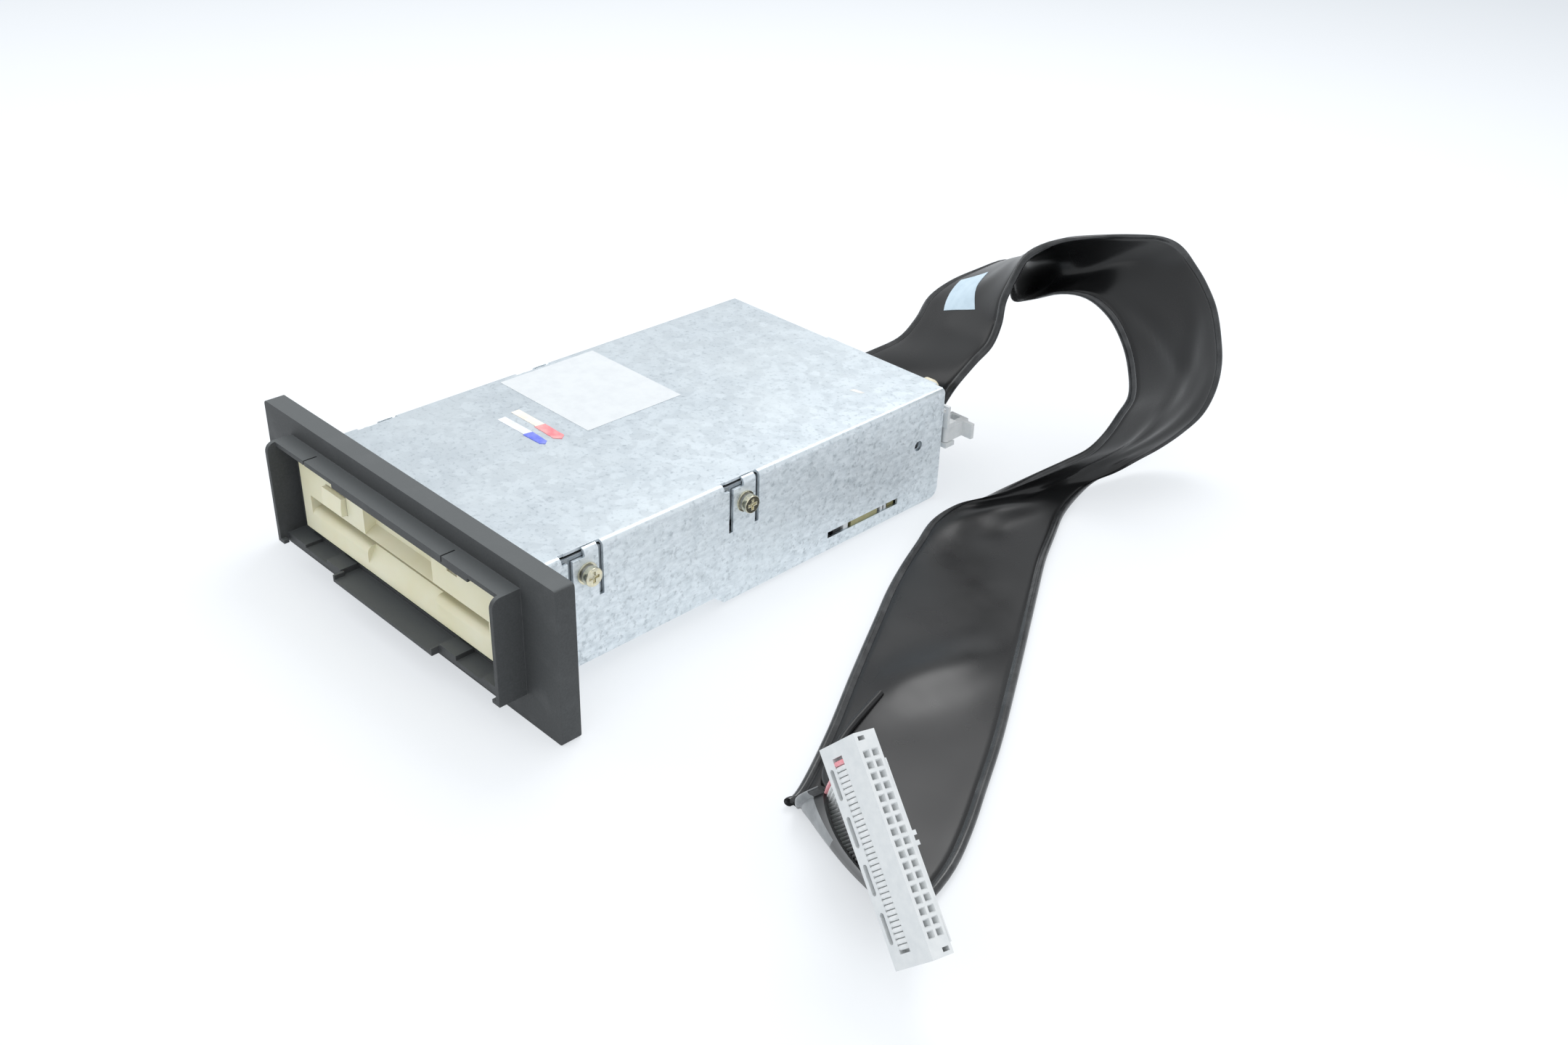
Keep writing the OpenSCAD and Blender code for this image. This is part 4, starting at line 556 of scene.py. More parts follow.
class Sleeve:
    """The flat cable as stations along its route, each with its middle, width and normal directions."""

    def __init__(self):
        fine = catmull([[*r[:3], *Vector(r[3:]).normalized()] for r in CABLE], ROUTE_STEPS)
        places = [Vector(r[:3]) for r in fine]
        lengths = [0.0]
        for a, b in zip(places, places[1:]):
            lengths.append(lengths[-1] + (b - a).length)
        self.length = lengths[-1]
        count = round(self.length / STATION)
        self.stations = []
        k = 0
        for i in range(count + 1):
            s = self.length * i / count
            while k < len(lengths) - 2 and lengths[k + 1] < s:
                k += 1
            t = (s - lengths[k]) / max(lengths[k + 1] - lengths[k], 1e-9)
            middle = places[k].lerp(places[k + 1], t)
            across = Vector(fine[k][3:]).lerp(Vector(fine[k + 1][3:]), t).normalized()
            self.stations.append([s, middle, across, None])
        for i, station in enumerate(self.stations):
            ahead = (self.stations[min(i + 1, count)][1] - self.stations[max(i - 1, 0)][1]).normalized()
            station[3] = station[2].cross(ahead).normalized()

    def at(self, s):
        """Middle, width and normal directions at a distance along the cable."""
        x = max(0.0, min(1.0, s / self.length)) * (len(self.stations) - 1)
        i = min(int(x), len(self.stations) - 2)
        a, b = self.stations[i], self.stations[i + 1]
        return tuple(a[k].lerp(b[k], x - i) for k in (1, 2, 3))


# The sleeve's section: half its width, the radius of its beads, half the thickness of its web,
# half the flat part of the web, where the buckles die out and where the beads' faces start
HALF_WIDTH = 24.0
BEAD = 1.3
WEB = 0.9
FLAT_HALF = 19.5
BUCKLED_HALF = 20.0
BEAD_FROM = 21.0

# Buckles of the sleeve: where each starts and ends as (along, across), its height and its width
BUCKLES = [
    ((118, -16), (158, 8), 1.0, 3.5), ((128, 14), (166, -4), -0.8, 4.0), ((150, 20), (196, 2), 0.9, 4.0),
    ((160, -4), (228, 4), 1.1, 3.0), ((186, 14), (222, 21), 0.8, 2.5), ((236, -12), (262, 4), 0.7, 5.0),
    ((322, 18), (348, -14), -2.6, 11.0), ((234, 18), (246, -18), -2.2, 9.0), ((34, -8), (62, 10), 0.5, 5.0),
    ((92, 2), (112, -20), 0.7, 4.0), ((60, 16), (78, -12), -0.6, 4.0),
]


def buckle_height(s, u):
    """How far a buckle lifts the web at a place on the sleeve."""
    lift = 0.0
    for (s0, u0), (s1, u1), height, width in BUCKLES:
        ds, du = s1 - s0, u1 - u0
        t = max(0.0, min(1.0, ((s - s0) * ds + (u - u0) * du) / (ds * ds + du * du)))
        gap = math.hypot(s - s0 - t * ds, u - u0 - t * du)
        lift += height * math.exp(-(gap / width) ** 2) * math.sin(math.pi * (0.1 + 0.8 * t))
    return lift


def sleeve_lift(s, u):
    """Height of the web over its plain form: buckles and a slow unevenness that die out at the beads."""
    if abs(u) >= BUCKLED_HALF:
        return 0.0
    uneven = 0.25 * noise.noise(Vector((s * 0.03, u * 0.05, 3.1)))
    return (buckle_height(s, u) + uneven) * (1 - (abs(u) / BUCKLED_HALF) ** 4)


def sleeve_section():
    """Outline of the sleeve as (across, height) with its beaded edges, walked once round."""
    top = [(-FLAT_HALF + 2 * FLAT_HALF * k / 16, WEB) for k in range(17)]
    # A shallow crease lies between the web and the bead
    top += [(20.6, WEB * 0.9), (21.2, WEB * 0.55), (21.7, WEB * 0.8)]
    for k in range(5):
        t = math.radians(115 - 23 * k)
        top.append((HALF_WIDTH - BEAD + BEAD * math.cos(t), BEAD * math.sin(t)))
    top = [(-u, v) for u, v in reversed(top) if u > FLAT_HALF] + top
    bottom = [(u, -v) for u, v in reversed(top)]
    return top + [(HALF_WIDTH, 0.0)] + bottom + [(-HALF_WIDTH, 0.0)]


# The mouth: how long it opens, how long the painted highlight shows, the sleeve's lip that the highlight
# stops short of, how far the highlight reaches across, and the depths at which the inner skin has a ring
MOUTH_LENGTH = 15
HIGHLIGHT_LENGTH = 12
LIP = 2.6
HIGHLIGHT_ACROSS = -6
LINING_DEPTHS = (0.0, 2.0, 5.0, 9.0, 12.0)

# The two skins at the mouth: how far each stands off, how fast it opens, where across, and its reach
UPPER_SKIN = (7.5, 1.5, 3, 24)
LOWER_SKIN = (-2.6, 1.4, 0, 23.5)


def gape(u, above, opening):
    """How far a skin of the sleeve stands off near its mouth; the upper one sags the most."""
    height, power, middle, reach = UPPER_SKIN if above else LOWER_SKIN
    return height * opening ** power * max(0.0, 1 - ((u - middle) / reach) ** 2)


def mouth_opening(sleeve, s):
    """How far the mouth is open at a distance along the cable: 0 before it and 1 at its end."""
    return max(0.0, (s - sleeve.length + MOUTH_LENGTH) / MOUTH_LENGTH)


def sleeve_rows(bm, sleeve, section):
    """The sleeve's outer skin, as one ring of vertices for each station."""
    rings = []
    for s, middle, across, normal in sleeve.stations:
        opening = mouth_opening(sleeve, s)
        rings.append([middle + across * u + normal * (v + sleeve_lift(s, u) + gape(u, v > 0, opening))
                      for u, v in section])
    return skin(bm, rings, caps=False)


def mark_beads(rows, section):
    """Gives the beads' faces the third material, which carries a painted highlight."""
    beads = {i for i, (u, v) in enumerate(section) if abs(u) > BEAD_FROM}
    for a, b in zip(rows, rows[1:]):
        for i in beads:
            j = (i + 1) % len(section)
            if j in beads:
                next(f for f in a[i].link_faces if a[j] in f.verts and b[i] in f.verts).material_index = 2


def mark_painted_highlight(rows, section, sleeve):
    """Gives the sleeve's faces near the mouth the second material, a painted highlight."""
    for i, station in enumerate(sleeve.stations[:-1]):
        if sleeve.length - HIGHLIGHT_LENGTH < station[0] < sleeve.length - LIP - 1:
            for k, (u, v) in enumerate(section):
                if u < HIGHLIGHT_ACROSS and v:
                    for face in set(rows[i][k].link_faces) & set(rows[i + 1][k].link_faces):
                        face.material_index = 1


def close_sleeve(bm, rows, section, sleeve):
    """Closes the end inside the header, and lines the open mouth with an inner skin."""
    bm.faces.new(rows[0][::-1])
    rings = []
    for depth in LINING_DEPTHS:
        s = sleeve.length - depth
        middle, across, normal = sleeve.at(s)
        opening = mouth_opening(sleeve, s)
        ring = []
        for u, v in section:
            side = 1 if v > 0 else -1
            height = side * max(0.0, abs(v) * 0.12 + abs(gape(u, v > 0, opening)) - 0.1)
            ring.append(middle + across * u * 0.955 + normal * height)
        rings.append(ring)
    lining = skin(bm, rings, caps=False)
    band(bm, rows[-1], lining[0])
    bm.faces.new(lining[-1])


def bare_wires(bm, sleeve):
    """The ribbon's separate wires from inside the mouth to the socket, and the torn edge strip."""
    inside, across, _ = sleeve.at(sleeve.length - 8)
    route = [(inside, across)]
    route += [(Vector(row[:3]), Vector(row[3:]).normalized()) for row in catmull(RIBBON, RIBBON_STEPS)]
    for i in range(2 * CONTACTS):
        offset = (i + 0.5 - CONTACTS) * PITCH / 2
        places = [middle + along * offset for middle, along in route]
        wire(bm, places, size_of("wire_radius"), slot=1 if i == 0 else 0)
    wire(bm, catmull(TORN_EDGE, RIBBON_STEPS), size_of("strip_radius"), 10, slot=2)


class FLOPPY_OT_cable(bpy.types.Operator):
    """Makes the flat cable with its beaded edges, open mouth and bare wires, and a painted highlight near
    the mouth
    """

    bl_idname = "floppy.cable"
    bl_label = "Flat cable"

    def execute(self, context):
        sleeve, section = Sleeve(), sleeve_section()
        bm = bmesh.new()
        rows = sleeve_rows(bm, sleeve, section)
        mark_beads(rows, section)
        mark_painted_highlight(rows, section, sleeve)
        close_sleeve(bm, rows, section, sleeve)
        # Slots: the black sleeve, a grey painted highlight near the mouth, and the beads with their painted
        # highlight
        cable = make_piece("flat_sleeve", bm, ["sleeve_pvc", "liner_film", "piped_edge"], "unit",
                           replaces=["flat_cable"], angle=50)
        wires = bmesh.new()
        bare_wires(wires, sleeve)
        ribbon = make_piece("bare_wires", wires, ["ribbon_pvc", "red_wire", "sleeve_pvc"], "unit",
                            replaces=["ribbon_end"], angle=60)
        socket = make_far_socket()
        return {"FINISHED"}


# The socket: half its length, thickness and depth of its box, contacts a row, half the width of each
# contact's funnel and hole, and how deep the funnel and the hole go
PITCH = 2.54
SOCKET_HALF = 25.49
SOCKET_THICK = 6.1
SOCKET_DEEP = 6.5
CONTACTS = 17
FUNNEL = 0.92
CONTACT = 0.66
FUNNEL_DEEP = 0.5
HOLE_DEEP = 6.0
LATCH_SLOT = (0.9, 1.9)


def socket_body(bm):
    """The socket's box with chamfered contact holes and a latch slot at each end, in its own directions."""
    half, thick = SOCKET_HALF, SOCKET_THICK / 2
    xs = [-half] + [-half + inset for inset in LATCH_SLOT]
    for i in range(CONTACTS):
        middle = (i - 8) * PITCH
        xs += [middle - FUNNEL, middle - CONTACT, middle + CONTACT, middle + FUNNEL]
    xs += [half - inset for inset in reversed(LATCH_SLOT)] + [half]
    zs = [-thick]
    for row in (-PITCH / 2, PITCH / 2):
        zs += [row - FUNNEL, row - CONTACT, row + CONTACT, row + FUNNEL]
    zs.append(thick)
    last = len(xs) - 1

    def sunk(i, k):
        return 3 <= i <= last - 3 and (i - 3) % 4 in (1, 2) and 0 < k < 9 and (k - 1) % 4 in (1, 2)

    holes = {(3 + 4 * i + 1, k) for i in range(CONTACTS) for k in (2, 6)}
    holes |= {(1, k) for k in (1, 2, 3)} | {(last - 2, k) for k in (5, 6, 7)}
    grid = [[bm.verts.new((x, FUNNEL_DEEP if sunk(i, k) else 0.0, z)) for k, z in enumerate(zs)]
            for i, x in enumerate(xs)]
    for i in range(last):
        for k in range(len(zs) - 1):
            ring = [grid[i][k], grid[i + 1][k], grid[i + 1][k + 1], grid[i][k + 1]]
            if (i, k) not in holes:
                bm.faces.new(ring)
                continue
            back = [bm.verts.new((v.co.x, HOLE_DEEP, v.co.z)) for v in ring]
            for a, beside in enumerate(((i, k - 1), (i + 1, k), (i, k + 1), (i - 1, k))):
                if beside not in holes:
                    b = (a + 1) % 4
                    bm.faces.new((ring[a], ring[b], back[b], back[a]))
            bm.faces.new(back)
    rim = rim_of(grid)
    back = [bm.verts.new((v.co.x, SOCKET_DEEP, v.co.z)) for v in rim]
    band(bm, rim, back)
    bm.faces.new(back)


# Behind the box: the end posts' length, how deep the core lies under the ribs, where the strain relief
# starts and ends, its slots' first place, step, length, edges and depth, and the fillet in their corners
END_POST = 3.2
CORE_UNDER = 1.7
RELIEF_FRONT = 10.2
RELIEF_BACK = 13.8
SLOT_FIRST = 5.2
SLOT_STEP = 11.0
SLOT_LENGTH = 7.2
SLOT_EDGES = (11.25, 12.65)
SLOT_DEEP = 4.6
FILLET = 0.42

# The key's two prongs and the long low ledge under them, as corners with heights over the box
KEY = (
    ((-1.7, 0.1, 0.0), (-0.6, 3.4, 1.5)), ((0.6, 0.1, 0.0), (1.7, 3.4, 1.5)),
    ((-SOCKET_HALF + 7.0, 0.0, -0.1), (SOCKET_HALF - 2.4, 5.0, 0.45)),
)

# The outline of one rib as (back from the mating face, height over the ribs' base)
RIB = [(6.5, 0.7), (6.62, 0.3), (6.95, 0.05), (8.3, -0.1), (9.75, 0.05), (10.08, 0.3), (10.2, 0.7)]
RIB_BASE = 0.35


def corner_fill(bm, x, y, towards_x, towards_y):
    """A small three-sided post that rounds one corner of a slot."""
    low = -SOCKET_THICK / 2
    ring = [(x, y), (x + towards_x * FILLET, y), (x, y + towards_y * FILLET)]
    skin(bm, [[(a, b, z) for a, b in ring] for z in (low, low + SLOT_DEEP)])


def make_far_socket():
    """The 34-way socket on the cable, with its wire ribs and strain relief."""
    half, thick = SOCKET_HALF, SOCKET_THICK / 2
    bm = bmesh.new()
    socket_body(bm)
    # The core under the ribs, and the two end posts
    block(bm, (-half + END_POST, SOCKET_DEEP, -thick + CORE_UNDER), (half - END_POST, RELIEF_FRONT, thick))
    for s in (-1, 1):
        low, high = sorted((s * half, s * (half - END_POST)))
        block(bm, (low, SOCKET_DEEP, -thick), (high, RELIEF_FRONT, thick))
    # The strain relief is a bar with four long slots whose ends are rounded
    slots = [-half + SLOT_FIRST + SLOT_STEP * i for i in range(4)]
    edges = [-half] + [e for x in slots for e in (x, x + SLOT_LENGTH)] + [half]
    for low, high in zip(edges[::2], edges[1::2]):
        block(bm, (low, RELIEF_FRONT, -thick), (high, RELIEF_BACK, thick))
    near, far = SLOT_EDGES
    for x in slots:
        block(bm, (x, RELIEF_FRONT, -thick), (x + SLOT_LENGTH, near, thick))
        block(bm, (x, far, -thick), (x + SLOT_LENGTH, RELIEF_BACK, thick))
        block(bm, (x, near, -thick + SLOT_DEEP), (x + SLOT_LENGTH, far, thick))
        for end, along in ((x, 1), (x + SLOT_LENGTH, -1)):
            corner_fill(bm, end, near, along, 1)
            corner_fill(bm, end, far, along, -1)
    # Key and ledge stand on the side away from the ribs
    for corners in KEY:
        block(bm, *((x, y, thick + z) for x, y, z in corners))
    # Each wire of the ribbon shows as a rib where it is pressed onto its contact
    for i in range(2 * CONTACTS):
        x = (i + 0.5 - CONTACTS) * PITCH / 2
        places = [(x, y, RIB_BASE - thick + z) for y, z in RIB]
        wire(bm, places, size_of("rib_radius"), 10, slot=2 if i == 0 else 1)
    return make_piece("ribbon_socket", bm, ["header_plastic", "ribbon_pvc", "red_wire"], "unit",
                      frame_of=socket_in_part, replaces=["cable_connector"], bevel=size_of("socket_edge"))


class FLOPPY_OT_shells(bpy.types.Operator):
    """Gives the moulded and pressed outer pieces their rounded edges"""

    bl_idname = "floppy.shells"
    bl_label = "Bezel, box and drive front"

    def execute(self, context):
        for key, nodes in (
            ("mould_edge", ("front_bezel", "drive_front")),
            ("sheet_edge", ("housing_cover", "rear_panel", "housing_base")),
            ("small_edge", ("eject_button", "rear_header", "latch_left", "latch_right", "cable_plug",
                            "edge_guard", "led_window")),
        ):
            for node in nodes:
                softened_copy(node, size_of(key))
        return {"FINISHED"}


class FLOPPY_OT_screws(bpy.types.Operator):
    """Rounds the side screws and their spring and flat washers"""

    bl_idname = "floppy.screws"
    bl_label = "Side screws"

    def execute(self, context):
        softened_copy("side_screws", size_of("screw_edge"), angle=40)
        for node in ("spring_washers", "flat_washers"):
            softened_copy(node, size_of("washer_edge"), angle=40)
        return {"FINISHED"}


# The roof's height, how deep the pieces on it start, and how far tape, ink and dry adhesive stand up
ROOF = 42.0
SUNK = 0.02
TAPE, INK, ADHESIVE = 0.12, 0.15, 0.06

# Strips on the roof: corners of the tape, and of the ink over its right end
STRIPS = [
    ("tape_with_red_ink", "cream_tape", "red_marker",
     ((-28.5, 60.2), (-14.5, 60.2), (-14.5, 63.3), (-28.5, 63.3)),
     ((-15.6, 59.7), (-5.5, 59.4), (-3.6, 61.2), (-5.2, 63.2), (-15.0, 63.4))),
    ("tape_with_blue_ink", "grey_tape", "blue_marker",
     ((-27.2, 54.0), (-12.6, 54.2), (-12.6, 57.2), (-27.2, 57.0)),
     ((-13.8, 53.9), (-5.6, 54.1), (-4.3, 55.4), (-5.6, 56.9), (-13.2, 57.2))),
]
SPOT_CORNERS = ((31.5, 153.2), (35.8, 154.2), (36.2, 155.6), (32.0, 155.0))

# The cable's sticker: corners as (along, across), heights of its two faces, and its cells along a side
STICKER_CORNERS = ((36.5, -9.5), (40.5, 7.5), (55.5, -6.5), (49.0, -17.5))
STICKER_LIFTS = (0.02, 0.14)
CELLS = 8

# How far a drawn outline wanders
WANDER = 0.16


def outline_round(corners, step=0.6):
    """Closed outline through corners with points close enough to wander a little."""
    places = []
    for (x0, y0), (x1, y1) in zip(corners, corners[1:] + corners[:1]):
        count = max(2, int(math.hypot(x1 - x0, y1 - y0) / step))
        for k in range(count):
            t = k / count
            x, y = x0 + (x1 - x0) * t, y0 + (y1 - y0) * t
            places.append((x + WANDER * noise.noise(Vector((x * 1.7, y * 1.7, 2.0))),
                           y + WANDER * noise.noise(Vector((x * 1.7, y * 1.7, 9.0)))))
    return places


def roof_patch(bm, outline, height, slot):
    """A thin flat piece on the roof."""
    skin(bm, [[(x, y, z) for x, y in outline] for z in (ROOF - SUNK, ROOF + height)], slot)


def sticker_face(bm, sleeve, lift):
    """One face of the cable's sticker, as a grid of vertices that follows the sleeve's buckles."""
    first, second, third, fourth = (Vector(c) for c in STICKER_CORNERS)
    grid = []
    for i in range(CELLS + 1):
        left, right = first.lerp(fourth, i / CELLS), second.lerp(third, i / CELLS)
        row = []
        for k in range(CELLS + 1):
            along, u = left.lerp(right, k / CELLS)
            middle, across, normal = sleeve.at(along)
            row.append(bm.verts.new(middle + across * u + normal * (sleeve_lift(along, u) + WEB + lift)))
        grid.append(row)
    for a, b in zip(grid, grid[1:]):
        for k in range(CELLS):
            bm.faces.new((a[k], b[k], b[k + 1], a[k + 1])).material_index = 1
    return grid


class FLOPPY_OT_labels(bpy.types.Operator):
    """Lays two marked strips and an adhesive spot on the roof, and a bare sticker on the cable"""

    bl_idname = "floppy.labels"
    bl_label = "Labels"

    def execute(self, context):
        for name, tape, ink, corners, marked in STRIPS:
            bm = bmesh.new()
            roof_patch(bm, corners, TAPE, 1)
            roof_patch(bm, outline_round(marked), INK, 2)
            make_piece(name, bm, ["label_foil", tape, ink], "unit")
        bm = bmesh.new()
        roof_patch(bm, outline_round(SPOT_CORNERS), ADHESIVE, 1)
        make_piece("adhesive_spot", bm, ["label_foil", "dry_adhesive"], "unit")

        sleeve = Sleeve()
        bm = bmesh.new()
        low, high = (rim_of(sticker_face(bm, sleeve, lift)) for lift in STICKER_LIFTS)
        band(bm, low, high, slot=1)
        make_piece("cable_sticker", bm, ["label_foil", "cable_label"], "unit")
        return {"FINISHED"}


class FLOPPY_OT_inside(bpy.types.Operator):
    """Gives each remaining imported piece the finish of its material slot"""

    bl_idname = "floppy.inside"
    bl_label = "Inner pieces"

    def execute(self, context):
        for entry in frame["record"]["subparts"]:
            node = frame["nodes"][entry["node"]]
            node.data.materials.clear()
            node.data.materials.append(finish_of(entry["material_slot"]))
        return {"FINISHED"}


# Parts at the adapter board's edge that show through the side slot: y from and to, how far out, slot
BOARD_EDGE = [
    (135.4, 148.1, 51.4, "adapter_lacquer"), (127.4, 130.6, 50.9, "dark_plastic"),
    (131.8, 134.0, 51.3, "header_plastic"), (149.7, 150.9, 51.2, "header_plastic"),
    (151.6, 152.7, 51.2, "header_plastic"), (153.6, 156.8, 50.8, "adapter_lacquer"),
]

# How far they reach in over the board, the height of their feet, and how far they end below its top
REACH_IN = 1.5
EDGE_FOOT = 4.7
BELOW_TOP = 0.05


class FLOPPY_OT_board_edge(bpy.types.Operator):
    """Adds the small parts on the adapter board's edge that show through the side slot"""

    bl_idname = "floppy.board_edge"
    bl_label = "Adapter board's edge"

    def execute(self, context):
        _, (right, _, top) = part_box("adapter_board")
        bm = bmesh.new()
        slots = ["adapter_lacquer", "dark_plastic", "header_plastic"]
        for y_from, y_to, out, slot in BOARD_EDGE:
            low, high = (right / MM - REACH_IN, y_from, EDGE_FOOT), (out, y_to, top / MM - BELOW_TOP)
            block(bm, low, high, slots.index(slot))
        make_piece("board_edge_parts", bm, slots, body_of_node("adapter_board"), bevel=size_of("board_edge"))
        return {"FINISHED"}


# The camera: its place, and the directions to its right and behind it
CAMERA_AT = (343.7, -194.8, 267.2)
CAMERA_RIGHT = Vector((0.7025, 0.7111, 0.0288)).normalized()
CAMERA_BACK = Vector((0.6015, -0.6149, 0.5100)).normalized()

# The floor's two corners
FLOOR = ((-2500, -2500, -20), (2500, 2500, -0.02))

# Soft lamps: name, the stage's property with its power, place, and width of its square
LAMPS = (
    ("overhead softbox", "overhead", (-120, 100, 950), 900), ("back softbox", "back", (-180, 600, 880), 460),
    ("left fill", "left_fill", (-900, -350, 500), 700), ("right fill", "right_fill", (900, -150, 500), 700),
)
LAMPS_AIM = (60, 100, 20)


def set_camera(scene, look):
    """Looks at the part from its right front and above."""
    data = bpy.data.cameras.new("camera")
    data.sensor_fit = "HORIZONTAL"
    data.lens = look.lens
    data.clip_start, data.clip_end = 0.01, 20
    camera = in_scene("camera", data)
    scene.camera = camera
    up = CAMERA_BACK.cross(CAMERA_RIGHT).normalized()
    turn = Matrix((up.cross(CAMERA_BACK), up, CAMERA_BACK)).transposed().to_4x4()
    camera.matrix_world = Matrix.Translation(on_plate(CAMERA_AT)) @ turn


def any_ray(tree, *kinds):
    """1 for a ray of any of these kinds, 0 for others."""
    paths = add(tree, "LightPath").outputs
    seen = paths[f"Is {kinds[0]} Ray"]
    for kind in kinds[1:]:
        seen = calc(tree, "MAXIMUM", seen, paths[f"Is {kind} Ray"])
    return seen


def light_room(scene, look):
    """Lights the room evenly, and shows its walls white."""
    world = bpy.data.worlds.new("soft white room")
    scene.world = world
    world.use_nodes = True
    tree = world.node_tree
    lit = tree.nodes["Background"]
    lit.inputs["Color"].default_value = linear("#f4f7fa")
    lit.inputs["Strength"].default_value = look.room
    white = add(tree, "Background", {"Color": (1, 1, 1, 1)})
    seen = any_ray(tree, "Camera", "Transmission")
    mixed = add(tree, "MixShader", {0: seen, 1: lit.outputs[0], 2: white.outputs[0]})
    tree.links.new(mixed.outputs[0], tree.nodes["World Output"].inputs["Surface"])


def white_paper(look):
    """Matt white paper sweep: pale in every reflection, lifted and with soft shadows where it is seen, and
    there painted darker away from the part as painted shade, pale again far behind.
    """
    material, tree, shader, where = start_material("matt_white_paper", "#e9edf0", 0.8, ior=1.4)
    distance = add(tree, "VectorMath", {0: where}, operation="LENGTH").outputs["Value"]
    # Where seen, the paper is painted darker from 0.45 to 1.1 m from the part as painted shade, then pale
    # again from 1.2 to 2.2 m
    shaded = blend(tree, spread(tree, distance, 0.45, 1.1), tuple(look.paper), tuple(look.far_paper_painted_shade))
    swept = blend(tree, spread(tree, distance, 1.2, 2.2), shaded, "#f4f6f8")
    paper = add(tree, "BsdfDiffuse", {"Color": swept})
    glow = add(tree, "Emission", {"Color": linear("#f7fbff"), "Strength": look.floor_glow})
    lit = add(tree, "AddShader", {0: paper.outputs[0], 1: glow.outputs[0]})
    seen = any_ray(tree, "Camera", "Transmission", "Glossy")
    mixed = add(tree, "MixShader", {0: seen, 1: shader.outputs[0], 2: lit.outputs[0]})
    tree.links.new(mixed.outputs[0], tree.nodes["Material Output"].inputs["Surface"])
    return material


def lay_floor(look):
    """A wide slab of paper whose top lies just under the part."""
    bm = bmesh.new()
    block(bm, *FLOOR)
    for vert in bm.verts:
        vert.co = vert.co * MM
    mesh = bpy.data.meshes.new("floor")
    bm.to_mesh(mesh)
    bm.free()
    mesh.materials.append(white_paper(look))
    return in_scene("floor", mesh)


def hang_lamp(name, place, size, power):
    """A square soft lamp that looks at the part."""
    lamp = bpy.data.lights.new(name, "AREA")
    lamp.shape = "SQUARE"
    lamp.size = size * MM
    lamp.energy = power
    light = in_scene(name, lamp)
    light.location = on_plate(place)
    light.rotation_euler = (on_plate(LAMPS_AIM) - on_plate(place)).to_track_quat("-Z", "Y").to_euler()


class FLOPPY_OT_stage(bpy.types.Operator):
    """Sets the camera, the pale floor and the soft lights"""

    bl_idname = "floppy.stage"
    bl_label = "Stage"

    def execute(self, context):
        scene = context.scene
        look = scene.floppy_stage
        set_camera(scene, look)
        light_room(scene, look)
        floor = lay_floor(look)
        for name, key, place, size in LAMPS:
            hang_lamp(name, place, size, getattr(look, key))
        scene.view_settings.view_transform = "Standard"
        return {"FINISHED"}


def number_prop(name, description, default, unit="NONE", subtype="NONE"):
    """A number property that can't go below zero."""
    return bpy.props.FloatProperty(name=name, description=description, default=default, min=0.0,
                                   unit=unit, subtype=subtype)


def length_prop(name, description, mm):
    """A length property whose default is given in millimetres."""
    return number_prop(name, description, mm * MM, "LENGTH", "DISTANCE")


def colour_prop(name, description, hex_colour):
    """A colour property whose default is given as sRGB hex."""
    return bpy.props.FloatVectorProperty(name=name, description=description, default=linear(hex_colour),
                                         size=4, min=0.0, max=1.0, subtype="COLOR")


class FloppySizes(bpy.types.PropertyGroup):
    """Edge roundings and thicknesses"""

    mould_edge: length_prop("Moulded edge", "Rounding of the bezel and drive front", 0.35)
    sheet_edge: length_prop("Sheet edge", "Rounding of the cut sheet", 0.18)
    small_edge: length_prop("Small edge", "Rounding of the small mouldings", 0.15)
    screw_edge: length_prop("Screw edge", "Rounding of the side screws", 0.25)
    washer_edge: length_prop("Washer edge", "Rounding of the washers", 0.08)
    socket_edge: length_prop("Socket edge", "Rounding of the ribbon socket", 0.1)
    board_edge: length_prop("Board edge", "Rounding of the parts on the board's edge", 0.08)
    wire_radius: length_prop("Wire radius", "Radius of one wire of the bare ribbon", 0.47)
    rib_radius: length_prop("Rib radius", "Radius of a wire's rib on the socket", 0.6)
    strip_radius: length_prop("Strip radius", "Radius of the strip torn off the sleeve's edge", 1.1)


class FloppyColours(bpy.types.PropertyGroup):
    """Main colours of the part's materials"""

    steel: colour_prop("Steel", "Galvanised sheet between its flakes", "#cfd8de")
    bezel: colour_prop("Bezel", "Charcoal plastic of the bezel", "#3a3c3d")
    drive_front: colour_prop("Drive front", "Ivory plastic of the drive front", "#e6e2c8")
    connector: colour_prop("Connector", "Light grey plastic of headers and socket", "#d8dbdc")
    sleeve: colour_prop("Sleeve", "Black PVC of the cable's sleeve", "#0d0d0e")
    ribbon: colour_prop("Ribbon", "Grey PVC of the bare wires", "#dcdfdf")
    label: colour_prop("Label", "Film of the bare labels", "#dde1e3")


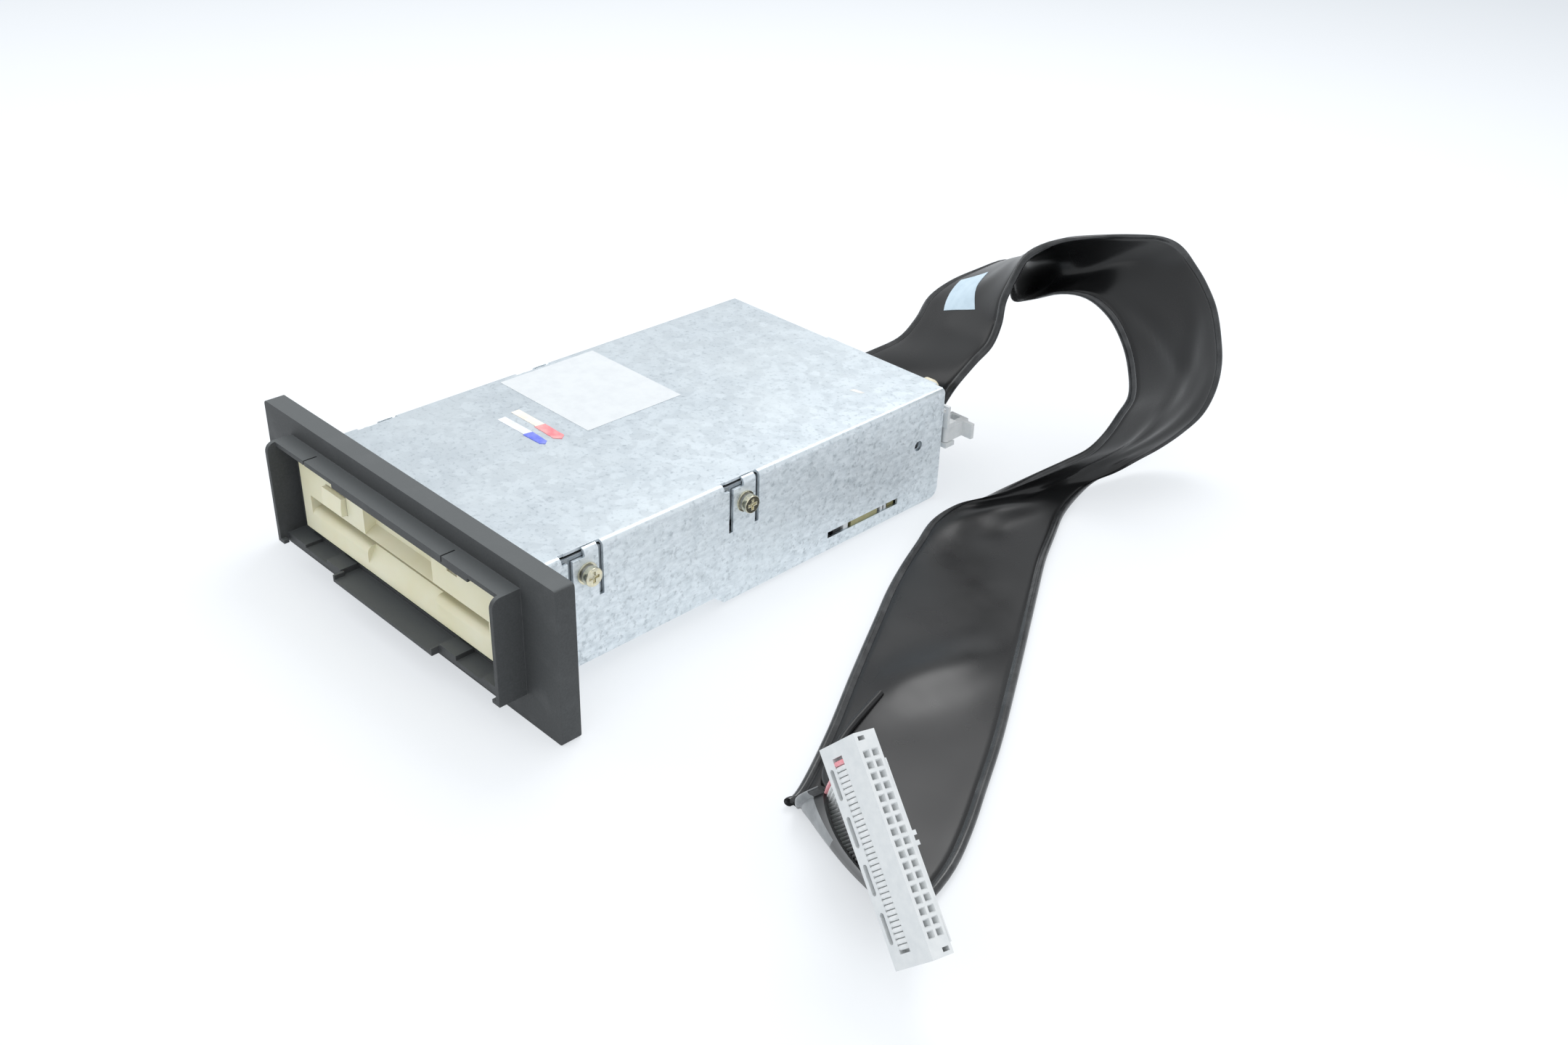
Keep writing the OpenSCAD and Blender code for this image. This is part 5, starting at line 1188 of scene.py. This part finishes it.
class FloppyStage(bpy.types.PropertyGroup):
    """Lens, paper and light of the stage"""

    lens: number_prop("Lens", "Focal length in millimetres", 35.84)
    room: number_prop("Room light", "Strength of the even room light", 0.93)
    paper: colour_prop("Paper", "Paper near the part", "#aaabac")
    # The far paper's darker colour is painted shade
    far_paper_painted_shade: colour_prop("Far paper", "Paper far behind the part", "#7f8388")
    floor_glow: number_prop("Floor lift", "How far the floor is lifted for the camera", 0.6)
    overhead: number_prop("Overhead softbox", "Lamp over the part", 0.8, "POWER")
    back: number_prop("Back softbox", "Lamp behind the part", 3.2, "POWER")
    left_fill: number_prop("Left fill", "Lamp on the left", 1.8, "POWER")
    right_fill: number_prop("Right fill", "Lamp on the right", 0.9, "POWER")


class FLOPPY_PT_panel(bpy.types.Panel):
    """Shows sizes, colours, stage and the buttons that make the pieces"""

    bl_idname = "FLOPPY_PT_panel"
    bl_label = "Floppy drive"
    bl_space_type = "VIEW_3D"
    bl_region_type = "UI"
    bl_category = "Floppy Drive"

    def draw(self, context):
        for name in GROUPS:
            group = getattr(context.scene, name)
            for key in group.__annotations__:
                self.layout.prop(group, key)
        for operator in OPERATORS:
            self.layout.operator(operator.bl_idname)


OPERATORS = (FLOPPY_OT_stage, FLOPPY_OT_cable, FLOPPY_OT_inside, FLOPPY_OT_shells, FLOPPY_OT_screws,
             FLOPPY_OT_labels, FLOPPY_OT_board_edge)
GROUPS = {"floppy_sizes": FloppySizes, "floppy_colours": FloppyColours, "floppy_stage": FloppyStage}
CLASSES = (*GROUPS.values(), *OPERATORS, FLOPPY_PT_panel)


def register():
    for cls in CLASSES:
        bpy.utils.register_class(cls)
    for name, group in GROUPS.items():
        setattr(bpy.types.Scene, name, bpy.props.PointerProperty(type=group))


def unregister():
    for name in GROUPS:
        delattr(bpy.types.Scene, name)
    for cls in reversed(CLASSES):
        bpy.utils.unregister_class(cls)


def main():
    register()
    bpy.ops.floppy.stage()
    bpy.ops.floppy.cable()
    bpy.ops.floppy.inside()
    bpy.ops.floppy.shells()
    bpy.ops.floppy.screws()
    bpy.ops.floppy.labels()
    bpy.ops.floppy.board_edge()


if __name__ == "__main__":
    main()
